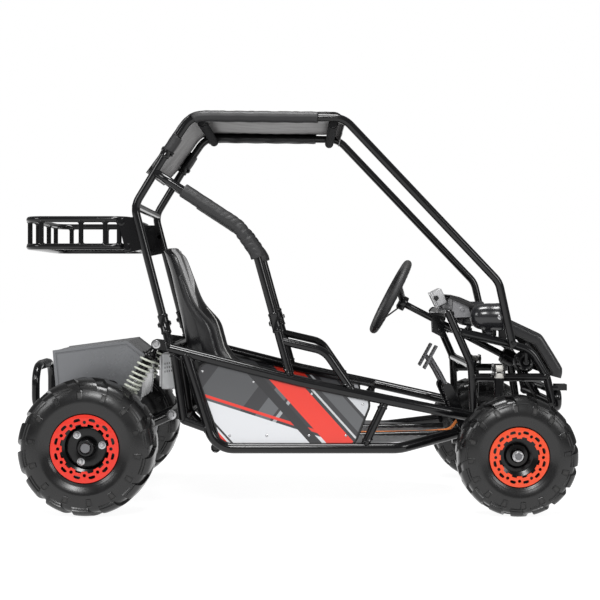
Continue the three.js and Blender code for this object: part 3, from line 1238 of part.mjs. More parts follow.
// Front arms: a pivot sleeve, two legs and the kingpin sleeve, with a seat for the shock's foot.
const armTube = 11;
const shockSeat = { thickness: 8, half: 17 };
function frontArm(side) {
  const pivot = new THREE.Vector3(armPivot.x, side * armPivot.y, armPivot.z);
  const king = new THREE.Vector3(kingpin.x, side * kingpin.y, kingpin.z);
  const end = along(king, pivot, kingpin.radius * 0.6);
  const bodies = [
    rod(shifted(pivot, -armPivot.half, 0, 0), shifted(pivot, armPivot.half, 0, 0), armPivot.radius),
    rod(shifted(king, 0, 0, -kingpin.half), shifted(king, 0, 0, kingpin.half), kingpin.radius, 10),
  ];
  for (const edge of [-1, 1]) bodies.push(rod(shifted(pivot, edge * armPivot.half * 0.8, 0, 0), end, armTube));
  const seatCentre = new THREE.Vector3((frontShock.x + kingpin.x) / 2 - shockSeat.half / 2, side * frontShock.y,
    frontShock.foot - shockSeat.thickness * 2.5);
  const reach = kingpin.x - frontShock.x + shockSeat.half;
  bodies.push(block(seatCentre, reach, shockSeat.half * 1.2, shockSeat.thickness));
  return join(bodies);
}

// Knuckles: a fork round the kingpin sleeve, the spindle and the steering arm.
const fork = { plate: 7, gap: 0.5, radius: 16, web: 10, webOffset: 20 };
const steerArm = { reach: rack.x - kingpin.x, width: 18 };
const castleNut = { radius: 15, height: 14 };
function knuckle(side) {
  const outward = (offset) => side * (kingpin.y + offset);
  const king = new THREE.Vector3(kingpin.x, 0, kingpin.z);
  const bodies = [];
  for (const edge of [-1, 1]) {
    const level = kingpin.z + edge * (kingpin.half + fork.gap + fork.plate / 2);
    const centre = new THREE.Vector3(kingpin.x, outward(fork.webOffset / 2), level);
    bodies.push(block(centre, fork.radius * 2, fork.webOffset + fork.radius, fork.plate));
  }
  const high = 2 * (kingpin.half + fork.gap + fork.plate);
  bodies.push(block(shifted(king, 0, outward(fork.webOffset), 0), fork.radius * 2, fork.web, high));
  const spindleRoot = outward(fork.webOffset);
  const spindleTip = side * (frontTyre.track + frontWheel.hubOut + castleNut.height + fitGap);
  const spindle = new THREE.Vector3(frontAxle.x, 0, frontAxle.z);
  bodies.push(crossRod(spindle, Math.min(spindleRoot, spindleTip), Math.max(spindleRoot, spindleTip), spindleRadius, 10));
  const nutFrom = side * (frontTyre.track + frontWheel.hubOut + fitGap);
  bodies.push(crossRod(spindle, Math.min(nutFrom, spindleTip), Math.max(nutFrom, spindleTip), castleNut.radius, 6));
  const level = kingpin.z + kingpin.half + fork.gap + fork.plate / 2;
  const steer = new THREE.Vector3(kingpin.x + steerArm.reach / 2, side * kingpin.y, level);
  bodies.push(block(steer, steerArm.reach + steerArm.width, steerArm.width, fork.plate));
  return join(bodies);
}

// Room under the rod's foot for the arm's seat to tilt.
const footPlay = 1.3;
// Front shock absorbers: a covered body on the nose tube's tab and a rod on the arm's seat.
function frontShockParts(side) {
  const y = side * frontShock.y;
  const top = new THREE.Vector3(frontShock.x, y, frontShock.top);
  const coverEnd = new THREE.Vector3(frontShock.x, y, frontShock.foot + (frontShock.top - frontShock.foot) * 0.35);
  const rodTop = new THREE.Vector3(frontShock.x, y, frontShock.foot + (frontShock.top - frontShock.foot) * 0.5);
  const foot = new THREE.Vector3(frontShock.x, y, frontShock.foot - shockSeat.thickness * 2 + footPlay);
  const tubeTop = noseMidShares[0][1] * roofHeight + cageRadius;
  const eye = rod(shifted(top, -shockEyeHalf, 0, 0), shifted(top, shockEyeHalf, 0, 0), frontShock.rod * 1.6, 8);
  const neck = rod(shifted(top, 0, 0, frontShock.rod), new THREE.Vector3(frontShock.x, y, tubeTop - frontShock.radius),
    frontShock.rod, 8);
  const cover = rod(new THREE.Vector3(frontShock.x, y, tubeTop - cageRadius), coverEnd, frontShock.radius, 10);
  const boreTop = new THREE.Vector3(frontShock.x, y, tubeTop - cageRadius - frontShock.radius);
  const bore = rod(boreTop, coverEnd.clone().setZ(frontShock.foot), frontShock.rod + fitGap, 8);
  return { body: join([eye, neck, cover.subtract(bore)]), rodBody: rod(rodTop, foot, frontShock.rod, 8) };
}

// Tie rods: from the rack's ends to a point above the steering arms.
const tieRod = { radius: 6, eye: 11, eyeHeight: 12, lift: 4.2 };
function tieRodBody(side) {
  const inner = new THREE.Vector3(rack.x, side * (rack.half + fitGap + tieRod.radius * 0.3), rack.z);
  const steerTop = kingpin.z + kingpin.half + fork.gap + fork.plate;
  const outer = new THREE.Vector3(rack.x, side * kingpin.y, steerTop + tieRod.lift + tieRod.eyeHeight / 2);
  const eye = rod(shifted(outer, 0, 0, -tieRod.eyeHeight / 2), shifted(outer, 0, 0, tieRod.eyeHeight / 2), tieRod.eye, 8);
  return join([rod(inner, outer, tieRod.radius, 6), eye]);
}
for (const [hand, side] of Object.entries(sides)) {
  const shockBodies = frontShockParts(side);
  piece(`front_arm_${hand}`, frontArm(side), blackPaint);
  piece(`knuckle_${hand}`, knuckle(side), greySteel);
  piece(`front_shock_body_${hand}`, shockBodies.body, blackPaint);
  piece(`front_shock_rod_${hand}`, shockBodies.rodBody, greySteel);
  piece(`tie_rod_${hand}`, tieRodBody(side), greySteel);
}
piece('steering_rack', crossRod(new THREE.Vector3(rack.x, 0, rack.z), -rack.half, rack.half, rack.radius, 8), greySteel);

// Steering column and wheel: a dished wheel with three spokes on a hub.
const wheelRim = { radius: 120, grip: 13.5, dish: 45, hub: 24, hubLength: 22, spoke: 8 };
const columnAxis = columnFoot.clone().sub(columnTop).normalize();
const columnStart = columnTop.clone().addScaledVector(columnAxis, wheelRim.hubLength / 2 + fitGap);
piece('steering_column', rod(columnStart, columnFoot, columnRadius, 10), blackPaint);
function steeringWheel() {
  const upright = new THREE.Vector3(columnAxis.z, 0, -columnAxis.x).negate();
  const centre = columnTop.clone().addScaledVector(columnAxis, -wheelRim.dish);
  const ring = new THREE.TorusGeometry(wheelRim.radius, wheelRim.grip, 6, 20);
  ring.applyQuaternion(new THREE.Quaternion().setFromUnitVectors(new THREE.Vector3(0, 0, 1), columnAxis));
  ring.translate(centre.x, centre.y, centre.z);
  const half = columnAxis.clone().multiplyScalar(wheelRim.hubLength / 2);
  const bodies = [solid(ring), rod(columnTop.clone().sub(half), columnTop.clone().add(half), wheelRim.hub, 8)];
  for (let index = 0; index < 3; index += 1) {
    const angle = Math.PI / 2 + 2 * Math.PI * index / 3;
    const spoke = new THREE.Vector3(0, Math.cos(angle), 0).addScaledVector(upright, -Math.sin(angle));
    bodies.push(rod(columnTop.clone().addScaledVector(spoke, wheelRim.hub / 2), centre.clone().addScaledVector(spoke, wheelRim.radius),
      wheelRim.spoke, 6));
  }
  return join(bodies);
}
piece('steering_wheel', steeringWheel(), blackPlastic);

// Pedals: a hub between the stand's ears, an arm and a tilted pad.
const pad = { width: 62, height: 84, thickness: 6, armRadius: 7, lift: 98, setBack: 55, tilt: 0.5 };
function pedalBody(side) {
  const pivot = place(pedalShare, side * pedal.y);
  const centre = shifted(pivot, -pad.setBack, 0, pad.lift);
  return join([
    crossRod(pivot.clone().setY(0), side * pedal.y - pedal.hubHalf, side * pedal.y + pedal.hubHalf, pedal.hubRadius),
    rod(pivot, centre, pad.armRadius),
    block(centre, pad.thickness, pad.width, pad.height, pad.tilt),
  ]);
}
piece('throttle_pedal', pedalBody(sides.right), greySteel);
piece('brake_pedal', pedalBody(sides.left), greySteel);

export default kart;
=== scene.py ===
import math

import bmesh
import bpy
import numpy as np
from mathutils import Euler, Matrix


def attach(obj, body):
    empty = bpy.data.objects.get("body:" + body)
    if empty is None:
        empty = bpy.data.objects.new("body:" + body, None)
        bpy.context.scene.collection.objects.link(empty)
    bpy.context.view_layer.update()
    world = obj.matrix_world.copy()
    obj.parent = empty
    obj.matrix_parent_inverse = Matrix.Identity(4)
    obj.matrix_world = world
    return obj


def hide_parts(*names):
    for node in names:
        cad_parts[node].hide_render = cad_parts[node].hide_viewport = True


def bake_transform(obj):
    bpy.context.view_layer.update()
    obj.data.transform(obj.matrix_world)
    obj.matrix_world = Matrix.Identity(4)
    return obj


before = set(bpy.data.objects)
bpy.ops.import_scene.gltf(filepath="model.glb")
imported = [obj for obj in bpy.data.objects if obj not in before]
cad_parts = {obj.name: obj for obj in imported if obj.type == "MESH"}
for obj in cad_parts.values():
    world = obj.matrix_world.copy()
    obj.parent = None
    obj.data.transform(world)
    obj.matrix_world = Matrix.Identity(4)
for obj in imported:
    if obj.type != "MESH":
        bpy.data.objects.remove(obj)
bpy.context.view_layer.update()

# The camera stands four and a half metres to the kart's right, at the height of the dash, and looks
# straight across it, as the photograph does.
camera_data = bpy.data.cameras.new("camera")
camera_data.lens = 82.74
camera_data.sensor_width = 36
camera_data.shift_y = -0.025
camera_data.clip_end = 60
camera = bpy.data.objects.new("camera", camera_data)
camera.location = (0.0112, -4.49, 0.68)
camera.rotation_euler = (math.pi / 2, 0, 0)
bpy.context.scene.collection.objects.link(camera)
bpy.context.scene.camera = camera

# Side frames: bent steel tube, welded at the joints and powder coated in gloss black. Each has an upper
# and a lower rail, an upright, a front diagonal, a guard loop and two feet that the cage bolts to.
wheelbase = 1.268
roof_height = 1.192
box_offset = 0.0172
side_y = 0.345
shoulder_y = 0.340
cage_y = 0.310
nose_y = 0.262
inner_y = 0.120
rail_radius = 0.016
cage_radius = 0.0125
rail_bend = 0.075
cage_bend = 0.070
sides = {"right": -1, "left": 1}


def place(shares, y):
    """A point from shares of the wheelbase and of the roof height, at a sideways distance."""
    return np.array([shares[0] * wheelbase + box_offset, y, shares[1] * roof_height])


def route(shares, y):
    return np.array([place(share, y) for share in shares])


def unit(vector):
    return vector / np.linalg.norm(vector, axis=-1, keepdims=True)


def toward(start, end, distance):
    return start + unit(end - start) * distance


def bent(points, bend, step=0.09):
    """Straight runs joined by arcs: a corner that turns by t is cut back by bend * tan(t / 2), and the
    arc between swings the spoke from its centre through t."""
    points = np.asarray(points, float)
    path = [points[:1]]
    for before, corner, after in zip(points[:-2], points[1:-1], points[2:]):
        into, out = unit(corner - before), unit(after - corner)
        turn = math.acos(np.clip(into @ out, -1, 1))
        if turn < 0.01:
            path.append(corner[None])
            continue
        room = 0.48 * min(np.linalg.norm(corner - before), np.linalg.norm(after - corner))
        cut = min(bend * math.tan(turn / 2), room)
        centre = corner + unit(out - into) * cut / math.sin(turn / 2)
        spoke = corner - into * cut - centre
        angle = np.linspace(0, turn, max(3, round(turn / step)))[:, None]
        path.append(centre + spoke * np.cos(angle) + into * np.linalg.norm(spoke) * np.sin(angle))
    return np.concatenate([*path, points[-1:]])


def circle(radius, count):
    """Points at equal angles on a circle, as [across, up] pairs."""
    angle = np.arange(count) * 2 * math.pi / count
    return radius * np.stack([np.cos(angle), np.sin(angle)], axis=-1)


def carried(path, outline):
    """An outline of [across, up] pairs set square to a path at each of its points. Across is normal to
    the direction in which the path strays least, so that the outline doesn't twist."""
    heading = unit(np.gradient(path, axis=0))
    least = np.linalg.svd(heading)[2][-1]
    across = unit(np.cross(heading, least))
    up = np.cross(across, heading)
    outline = np.broadcast_to(outline, (len(path), *outline.shape[-2:]))
    return path[:, None] + outline[..., :1] * across[:, None] + outline[..., 1:] * up[:, None]


def skin(rows, capped=True, ring=False, open_columns=False):
    """Quads between neighbouring rows of points. The columns close on themselves unless they are open,
    and so do the rows of a ring. A cap is one face over the first or last row."""
    rows = np.asarray(rows, float)
    index = np.arange(rows.shape[0] * rows.shape[1]).reshape(rows.shape[:2])
    if ring:
        index = np.vstack([index, index[:1]])
    if not open_columns:
        index = np.hstack([index, index[:, :1]])
    quads = np.stack([index[:-1, :-1], index[:-1, 1:], index[1:, 1:], index[1:, :-1]], axis=-1)
    faces = quads.reshape(-1, 4).tolist()
    if capped and not ring and not open_columns:
        faces += [index[0, :-1][::-1].tolist(), index[-1, :-1].tolist()]
    return rows.reshape(-1, 3), faces


def tube(points, radius, bend=0.05, sides_round=20):
    return skin(carried(bent(points, bend), circle(radius, sides_round)))


def rod(start, end, radius, sides_round=20):
    """A straight round bar with a small chamfer at each end, as rings at four distances."""
    start, end = np.asarray(start, float), np.asarray(end, float)
    edge = min(radius * 0.12, np.linalg.norm(end - start) * 0.2)
    path = np.array([start, toward(start, end, edge), toward(end, start, edge), end])
    size = np.array([radius - edge, radius, radius, radius - edge])[:, None, None]
    return skin(carried(path, circle(1, sides_round) * size))


def cross_rod(centre, y_from, y_to, radius, sides_round=20):
    return rod([centre[0], y_from, centre[2]], [centre[0], y_to, centre[2]], radius, sides_round)


def weld(point, away, radius, on, along, on_radius, bead=0.0026):
    """A weld bead round the end of a tube that stands on another: each point of the tube's wall is
    moved along the tube to where its distance from the other's axis is that tube's radius."""
    away, along = unit(np.asarray(away, float)), unit(np.asarray(along, float))
    across = unit(np.cross(away, along))
    up = np.cross(across, away)
    angle = np.linspace(0, 2 * math.pi, 48, endpoint=False)[:, None]
    wall = point + radius * (np.cos(angle) * across + np.sin(angle) * up)
    offset = wall - on
    flat = offset - (offset @ along)[:, None] * along
    slope = away - (away @ along) * along
    a, b, c = slope @ slope, flat @ slope, (flat * flat).sum(1) - on_radius ** 2
    reach = (-b + np.sqrt(np.maximum(b * b - a * c, 0))) / a
    seam = wall + reach[:, None] * away
    ripple = 1 + 0.18 * np.sin(angle * 16)
    heading = unit(np.roll(seam, -1, 0) - np.roll(seam, 1, 0))
    out = unit(wall - point)
    binormal = np.cross(heading, out)
    section = circle(bead, 8)[None] * ripple[:, None]
    rows = seam[:, None] + section[..., :1] * out[:, None] + section[..., 1:] * binormal[:, None]
    return skin(rows, ring=True)


def stacked(start, axis, profile, count):
    """Regular polygons square to a straight axis, from [radius, distance along the axis] pairs."""
    profile = np.asarray(profile, float)
    return skin(carried(start + profile[:, 1:] * axis, circle(1, count) * profile[:, :1, None]))


def make(name, shells, finish, replaced=None, body="chassis", crease=40, flip=True):
    """Joins shells of points and faces into one piece, turns its faces outwards and keeps its creases. A
    finish is a material paired with the name of a slot, and that name is not used."""
    look, slot = finish
    points, faces, count = [], [], 0
    for shell_points, shell_faces in shells:
        points.append(shell_points)
        faces += [[corner + count for corner in face] for face in shell_faces]
        count += len(shell_points)
    mesh = bpy.data.meshes.new(name)
    mesh.from_pydata(np.concatenate(points).tolist(), [], faces)
    if flip:
        work = bmesh.new()
        work.from_mesh(mesh)
        bmesh.ops.recalc_face_normals(work, faces=work.faces)
        work.to_mesh(mesh)
        work.free()
    mesh.shade_smooth()
    mesh.set_sharp_from_angle(angle=math.radians(crease))
    mesh.materials.append(look)
    piece = bpy.data.objects.new(name, mesh)
    bpy.context.scene.collection.objects.link(piece)
    if body:
        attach(piece, body)
    if replaced:
        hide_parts(replaced)
    return piece


def group(name, inputs, outputs):
    """An empty node group with named sockets: inputs are [name, kind, default] rows."""
    tree = bpy.data.node_groups.new(name, "ShaderNodeTree")
    kinds = {"value": "NodeSocketFloat", "colour": "NodeSocketColor", "vector": "NodeSocketVector"}
    for label, kind, default in inputs:
        socket = tree.interface.new_socket(label, in_out="INPUT", socket_type=kinds[kind])
        socket.default_value = default
    for label, kind in outputs:
        tree.interface.new_socket(label, in_out="OUTPUT", socket_type=kinds[kind])
    return tree, tree.nodes.new("NodeGroupInput").outputs, tree.nodes.new("NodeGroupOutput").inputs


def node(tree, kind, settings=None, **links):
    """Adds a node, sets its properties, and fills its sockets with values or with other outputs. A link
    is named for its socket, or i and the socket's number."""
    new = tree.nodes.new("ShaderNode" + kind)
    for key, value in (settings or {}).items():
        setattr(new, key, value)
    for key, value in links.items():
        socket = new.inputs[int(key[1:]) if key[1:].isdigit() else key]
        if isinstance(value, bpy.types.NodeSocket):
            tree.links.new(value, socket)
        else:
            socket.default_value = value
    return new.outputs


def maths(tree, operation, a, b=0.0, c=0.0):
    return node(tree, "Math", {"operation": operation}, i0=a, i1=b, i2=c)[0]


def times(tree, a, b):
    return maths(tree, "MULTIPLY", a, b)


def blended(tree, share, low, high):
    """A colour between two others."""
    return node(tree, "Mix", {"data_type": "RGBA", "blend_type": "MIX"}, i0=share, i6=low, i7=high)[2]


def ramp(tree, value, low, high, to_low=0.0, to_high=1.0):
    """A smooth step from one value to another."""
    smooth = {"interpolation_type": "SMOOTHSTEP"}
    return node(tree, "MapRange", smooth, i0=value, i1=low, i2=high, i3=to_low, i4=to_high)[0]


def facing(tree):
    """The three parts of the direction in which the surface looks."""
    return node(tree, "SeparateXYZ", Vector=node(tree, "NewGeometry")["Normal"])


def grain_group():
    """Cast or sprayed surface: fine grain in the bump, broad uneven gloss, and dust in low places."""
    tree, given, out = group("sprayed grain", [
        ("Colour", "colour", (0, 0, 0, 1)), ("Dust colour", "colour", (0.1, 0.1, 0.1, 1)),
        ("Dust", "value", 0.2), ("Roughness", "value", 0.3), ("Unevenness", "value", 0.1),
        ("Scale", "value", 600.0), ("Bump", "value", 0.1),
    ], [("Colour", "colour"), ("Roughness", "value"), ("Normal", "vector")])
    spot = node(tree, "TexCoord")["Object"]
    fine = node(tree, "TexNoise", Vector=spot, Scale=given["Scale"], Detail=3.0)[0]
    broad = node(tree, "TexNoise", Vector=spot, Scale=9.0, Detail=5.0, Roughness=0.6)[0]
    lying = ramp(tree, facing(tree)[2], 0.2, 1.0, 0.15, 1.0)
    patches = ramp(tree, broad, 0.42, 0.72)
    dust = times(tree, times(tree, lying, patches), given["Dust"])
    tree.links.new(blended(tree, dust, given["Colour"], given["Dust colour"]), out["Colour"])
    swing = times(tree, maths(tree, "SUBTRACT", broad, 0.5), given["Unevenness"])
    rough = maths(tree, "ADD", maths(tree, "ADD", given["Roughness"], swing), times(tree, dust, 0.4))
    tree.links.new(rough, out["Roughness"])
    bump = node(tree, "Bump", Strength=given["Bump"], Distance=0.0006, Height=fine)
    tree.links.new(bump[0], out["Normal"])
    return tree


grained = grain_group()


def surface(name, slot, colour, roughness, metallic=0.0, coat=0.0, dust=0.15, dust_colour=(0.16, 0.15, 0.13),
            uneven=0.12, scale=700.0, bump=0.12, shine=0.5, extra=None):
    """A material with the shared grain, and its slot; extra may add to the colour, roughness or normal."""
    look = bpy.data.materials.new(name)
    look.use_nodes = True
    tree = look.node_tree
    shader = tree.nodes["Principled BSDF"].inputs
    for key, value in (("Metallic", metallic), ("Coat Weight", coat), ("Coat Roughness", 0.08),
                       ("Specular IOR Level", shine)):
        shader[key].default_value = value
    base = tree.nodes.new("ShaderNodeGroup")
    base.node_tree = grained
    for key, value in (("Colour", (*colour, 1)), ("Dust colour", (*dust_colour, 1)), ("Dust", dust),
                       ("Roughness", roughness), ("Unevenness", uneven), ("Scale", scale), ("Bump", bump)):
        base.inputs[key].default_value = value
    results = dict(base.outputs.items())
    if extra:
        results.update(extra(tree, results))
    for key, target in (("Colour", "Base Color"), ("Roughness", "Roughness"), ("Normal", "Normal")):
        tree.links.new(results[key], shader[target])
    look.diffuse_color = (*colour, 1)
    return look, slot


black_coat = surface("gloss black powder coat", "black_paint", (0.004, 0.004, 0.0045), 0.15, coat=0.15,
                     dust=0.0, bump=0.04, shine=0.32)

rail_shares = [(-0.313, 0.41), (-0.005, 0.327), (0.2, 0.281), (0.351, 0.247)]
rail_nose_share = (0.413, 0.233)
rear_tube_shares = [(-0.274, 0.397), (-0.206, 0.159)]
lower_rail_share = (0.232, 0.159)
lower_nose_share = (0.375, 0.187)
upright_shares = [(-0.304, 0.402), (-0.281, 0.23)]
upright_link_share = (-0.219, 0.206)
diagonal_shares = [(0.196, 0.273), (0.149, 0.168)]
guard_shares = [(-0.051, 0.43), (0.054, 0.404), (0.118, 0.305)]
shoulder_foot_shares = [(-0.069, 0.5), (-0.028, 0.341)]
hoop_foot_shares = [(-0.334, 0.495), (-0.313, 0.408)]
collar_wall = 0.0035
collar_length = 0.06


def joined(start, end, radius, on_start=None, on_end=None):
    """A straight tube with a weld bead where it meets another; on_... is that tube's heading and radius."""
    shells = [rod(start, end, radius)]
    for point, other, on in ((start, end, on_start), (end, start, on_end)):
        if on is not None:
            shells.append(weld(point, other - point, radius, point, on[0], on[1]))
    return shells


def bolt(head, axis, size=0.005, length=0.004, washer=True):
    """A hexagon bolt head on a washer: a six-sided ring with a bevelled top over a flat round ring."""
    axis, head = unit(np.asarray(axis, float)), np.asarray(head, float)
    shells = [stacked(head, axis, [(size, 0), (size, length * 0.8), (size * 0.86, length)], 6)]
    if washer:
        wide = size * 1.5
        shells.append(stacked(head, axis, [(wide, 0), (wide, 0.0011), (wide * 0.94, 0.0013)], 20))
    return shells


def clamp(start, end, radius, length):
    """A pressed sleeve round a tube's end, with rolled rims and a bolt through its middle."""
    far = toward(start, end, length)
    at = np.array([0, 0.0015, 0.003, 0.007, 0.009]) / length
    at = np.concatenate([at, 1 - at[::-1]])
    size = radius + collar_wall * np.array([0.4, 0.9, 1, 1, 0.72, 0.72, 1, 1, 0.9, 0.4])
    path = start + at[:, None] * (far - start)
    shells = [skin(carried(path, circle(1, 24) * size[:, None, None]))]
    middle = start + (far - start) * 0.5
    across = unit(np.cross(far - start, (0, 1, 0)))
    for way in (-1, 1):
        shells += bolt(middle + way * across * (radius + collar_wall * 0.9), way * across, 0.0062, 0.005)
    return shells


for hand, side in sides.items():
    y = side * side_y
    rail = [*route(rail_shares[:3], y), place(rail_shares[3], y * 0.89),
            place(rail_nose_share, side * nose_y)]
    lower = [*route(rear_tube_shares, y), place(lower_rail_share, y),
             place(lower_nose_share, side * (nose_y - 2 * cage_radius))]
    upright, link = route(upright_shares, y), place(upright_link_share, y)
    diagonal = route(diagonal_shares, y)
    guard = [place(guard_shares[0], side * shoulder_y), *route(guard_shares[1:], y)]
    rail_way, low_way = rail[1] - rail[0], lower[2] - lower[1]
    shells = [tube(rail, rail_radius, rail_bend, 28), tube(lower, rail_radius, rail_bend, 28),
              tube(guard, cage_radius, cage_bend, 24)]
    shells += joined(*upright, cage_radius, (rail_way, rail_radius))
    shells += joined(upright[1], link, cage_radius, None, (lower[1] - lower[0], rail_radius))
    shells += joined(*diagonal, cage_radius, (rail[2] - rail[1], rail_radius), (low_way, rail_radius))
    shells.append(weld(lower[0], lower[1] - lower[0], rail_radius, lower[0], rail_way, rail_radius))
    shells.append(weld(guard[2], guard[1] - guard[2], cage_radius, guard[2], rail[2] - rail[1], rail_radius))
    for shares, top_y, foot_y in ((shoulder_foot_shares, side * shoulder_y, y),
                                  (hoop_foot_shares, side * cage_y, side * (side_y - cage_radius))):
        top, foot = place(shares[0], top_y), place(shares[1], foot_y)
        shells += joined(top, foot, cage_radius, None, (rail_way, rail_radius))
        shells += clamp(top, foot, cage_radius, collar_length)
    make(f"side_frame_tubes_{hand}", shells, black_coat, f"side_frame_{hand}")

# Floor frame: two inner tubes that rise behind the seat as a tower, cross tubes, posts for the seat and
# laser-cut ears for the shock absorbers and the swing arm, all welded steel in the same black coat.
floor_rear_share = (-0.206, 0.159)
floor_front_share = (0.372, 0.175)
floor_cross_shares = (-0.205, 0.02, 0.2)
seat_post_shares = (-0.17, -0.005)
seat_level = 0.2464
floor_level = floor_rear_share[1] * roof_height
shock_y = 0.2
shock_eye_half = 0.012
hub_half = 0.118
swing_pivot = place((-0.326, 0.226), 0)
shock_top = place((-0.356, 0.416), 0)
rear_cross = place(rail_shares[0], 0)
ear_thickness = 0.005
ear_half = 0.016
clearance = 0.0003


def plate(outline, y_from, y_to, edge=0.0008):
    """A flat plate that stands in the XZ plane, with its edges broken: four rings of its outline, the
    outer two drawn in by the width of the broken edge."""
    outline = np.asarray(outline, float)
    middle = outline.mean(axis=0)
    inward = outline - unit(outline - middle) * edge
    low, high = min(y_from, y_to), max(y_from, y_to)
    rows = [(inward, low), (outline, low + edge), (outline, high - edge), (inward, high)]
    return skin([np.stack([ring[:, 0], np.full(len(ring), y), ring[:, 1]], axis=-1) for ring, y in rows])


def eared(at, foot, y, half):
    """A rounded ear from a foot to a pin: a half circle round the pin and a straight root."""
    reach = unit((foot - at)[[0, 2]])
    aside = np.array([-reach[1], reach[0]])
    angle = np.linspace(0, math.pi, 15)[:, None]
    nose = at[[0, 2]] + half * (np.cos(angle) * aside - np.sin(angle) * reach)
    root = np.array([foot[[0, 2]] - half * aside, foot[[0, 2]] + half * aside])
    return plate(np.concatenate([nose, root]), y - ear_thickness / 2, y + ear_thickness / 2)


bright = []
shells = []
for side in sides.values():
    y = side * inner_y
    tower = route([rail_shares[0], *upright_shares, floor_rear_share, floor_front_share], y)
    shells.append(tube(tower, cage_radius, cage_bend, 20))
    for share in seat_post_shares:
        foot = np.array([share * wheelbase + box_offset, y, floor_level])
        shells += joined(foot, foot * (1, 1, 0) + (0, 0, seat_level), 0.011, ((1, 0, 0), cage_radius))
    for edge in (-1, 1):
        shock_ear = side * shock_y + edge * (shock_eye_half + ear_thickness / 2 + clearance)
        shells.append(eared(shock_top, rear_cross, shock_ear, ear_half))
    ear_y = side * (hub_half + ear_thickness / 2 + clearance)
    shells.append(eared(swing_pivot, place(upright_shares[1], 0), ear_y, ear_half))
    bright += bolt(swing_pivot + (0, ear_y + side * ear_thickness / 2, 0), (0, side, 0), 0.0105, 0.008)
    outer = side * (shock_y + shock_eye_half + ear_thickness + clearance)
    bright += bolt(shock_top + (0, outer, 0), (0, side, 0), 0.0085, 0.006)
cross_end = side_y - rail_radius
for share in floor_cross_shares:
    centre = np.array([share * wheelbase + box_offset, 0, floor_level])
    ends = [centre - (0, cross_end, 0), centre + (0, cross_end, 0)]
    shells += joined(*ends, cage_radius)
    for end, way in zip(ends, (1, -1)):
        on = end - (0, way * rail_radius, 0)
        shells.append(weld(on, (0, way, 0), cage_radius, on, (1, 0, 0), rail_radius))
for share, half in ((upright_shares[1], side_y - cage_radius), (rail_shares[0], side_y - 2 * cage_radius)):
    shells.append(cross_rod(place(share, 0), -half, half, cage_radius))
make("floor_tubes", shells, black_coat, "floor_frame")
zinc = surface("bright zinc", "grey_steel", (0.52, 0.52, 0.53), 0.26, metallic=1.0, dust=0.1,
               uneven=0.2, bump=0.06)
make("floor_pivot_bolts", bright, zinc)

# Nose frame: two bent posts, upper and middle nose tubes, two inner floor tubes that turn up in front,
# cross bars, the steering gear's housing, ears for the arms, shocks and pedals, and a bar for the horn.
axle_x = wheelbase / 2 + box_offset
post_shares = [(0.353, 0.502), (0.41, 0.364), (0.415, 0.247), (0.411, 0.187)]
nose_top_shares = [(0.38, 0.449), (0.502, 0.419), (0.554, 0.402), (0.592, 0.333), (0.605, 0.269)]
nose_mid_shares = [(0.413, 0.333), (0.594, 0.333)]
nose_inner_shares = [(0.3752, 0.16), (0.585, 0.16), (0.605, 0.269)]
cross_bar_shares = [(0.357, 0.495), (0.41, 0.364), (0.411, 0.187), (0.502, 0.419), (0.605, 0.269)]
bumper_x = axle_x + 0.15
bumper_stand_share = (0.597, 0.305)
column_top = np.array([axle_x - 0.305, 0, 0.621])
column_foot = np.array([axle_x + 0.015, 0, 0.455])
column_axis = unit(column_foot - column_top)
rack_centre = np.array([axle_x + 0.07, 0, 0.245])
arm_pivot_z, arm_pivot_y, arm_pivot_half = 0.207, 0.152, 0.055
front_shock_x, front_shock_y, front_shock_top = axle_x - 0.034, 0.292, 0.425
pedal_x, pedal_z, pedal_y, pedal_half = axle_x - 0.17, 0.352, 0.09, 0.018
floor_front_z = nose_inner_shares[0][1] * roof_height
stay_shares = [(0.502, 0.419), (0.502, 0.4775)]
horn_share, horn_y = (0.542, 0.372), 0.226


def slab(centre, size, tilt=0.0, edge=0.001):
    """A block with broken edges: a ring with cut corners at four heights, drawn in at the first and last."""
    half = np.asarray(size, float) / 2
    rows = []
    for height, inset in ((-half[2], edge), (edge - half[2], 0), (half[2] - edge, 0), (half[2], edge)):
        x, y = half[:2] - inset
        corners = np.array([(x, y - edge), (x - edge, y), (edge - x, y), (-x, y - edge)])
        rows.append([(*corner, height) for corner in (*corners, *-corners)])
    turn = np.array(Euler((0, tilt, 0)).to_matrix())
    return skin(np.array(rows) @ turn.T + np.asarray(centre, float))


def ear_block(pin, edge, side, inner, low, beyond, bolt_size, bolt_length):
    """A plate across the kart that reaches from a frame tube to beyond a pin, and the pin's bolt head."""
    x = pin[0] + edge * (ear_thickness / 2 + clearance)
    outer, high = pin[1] + beyond, pin[2] + beyond
    block = slab([x, side * (inner + outer) / 2, (low + high) / 2],
                 [ear_thickness, outer - inner, high - low])
    head = [x + edge * ear_thickness / 2, side * pin[1], pin[2]]
    return [block, *bolt(head, (edge, 0, 0), bolt_size, bolt_length)]


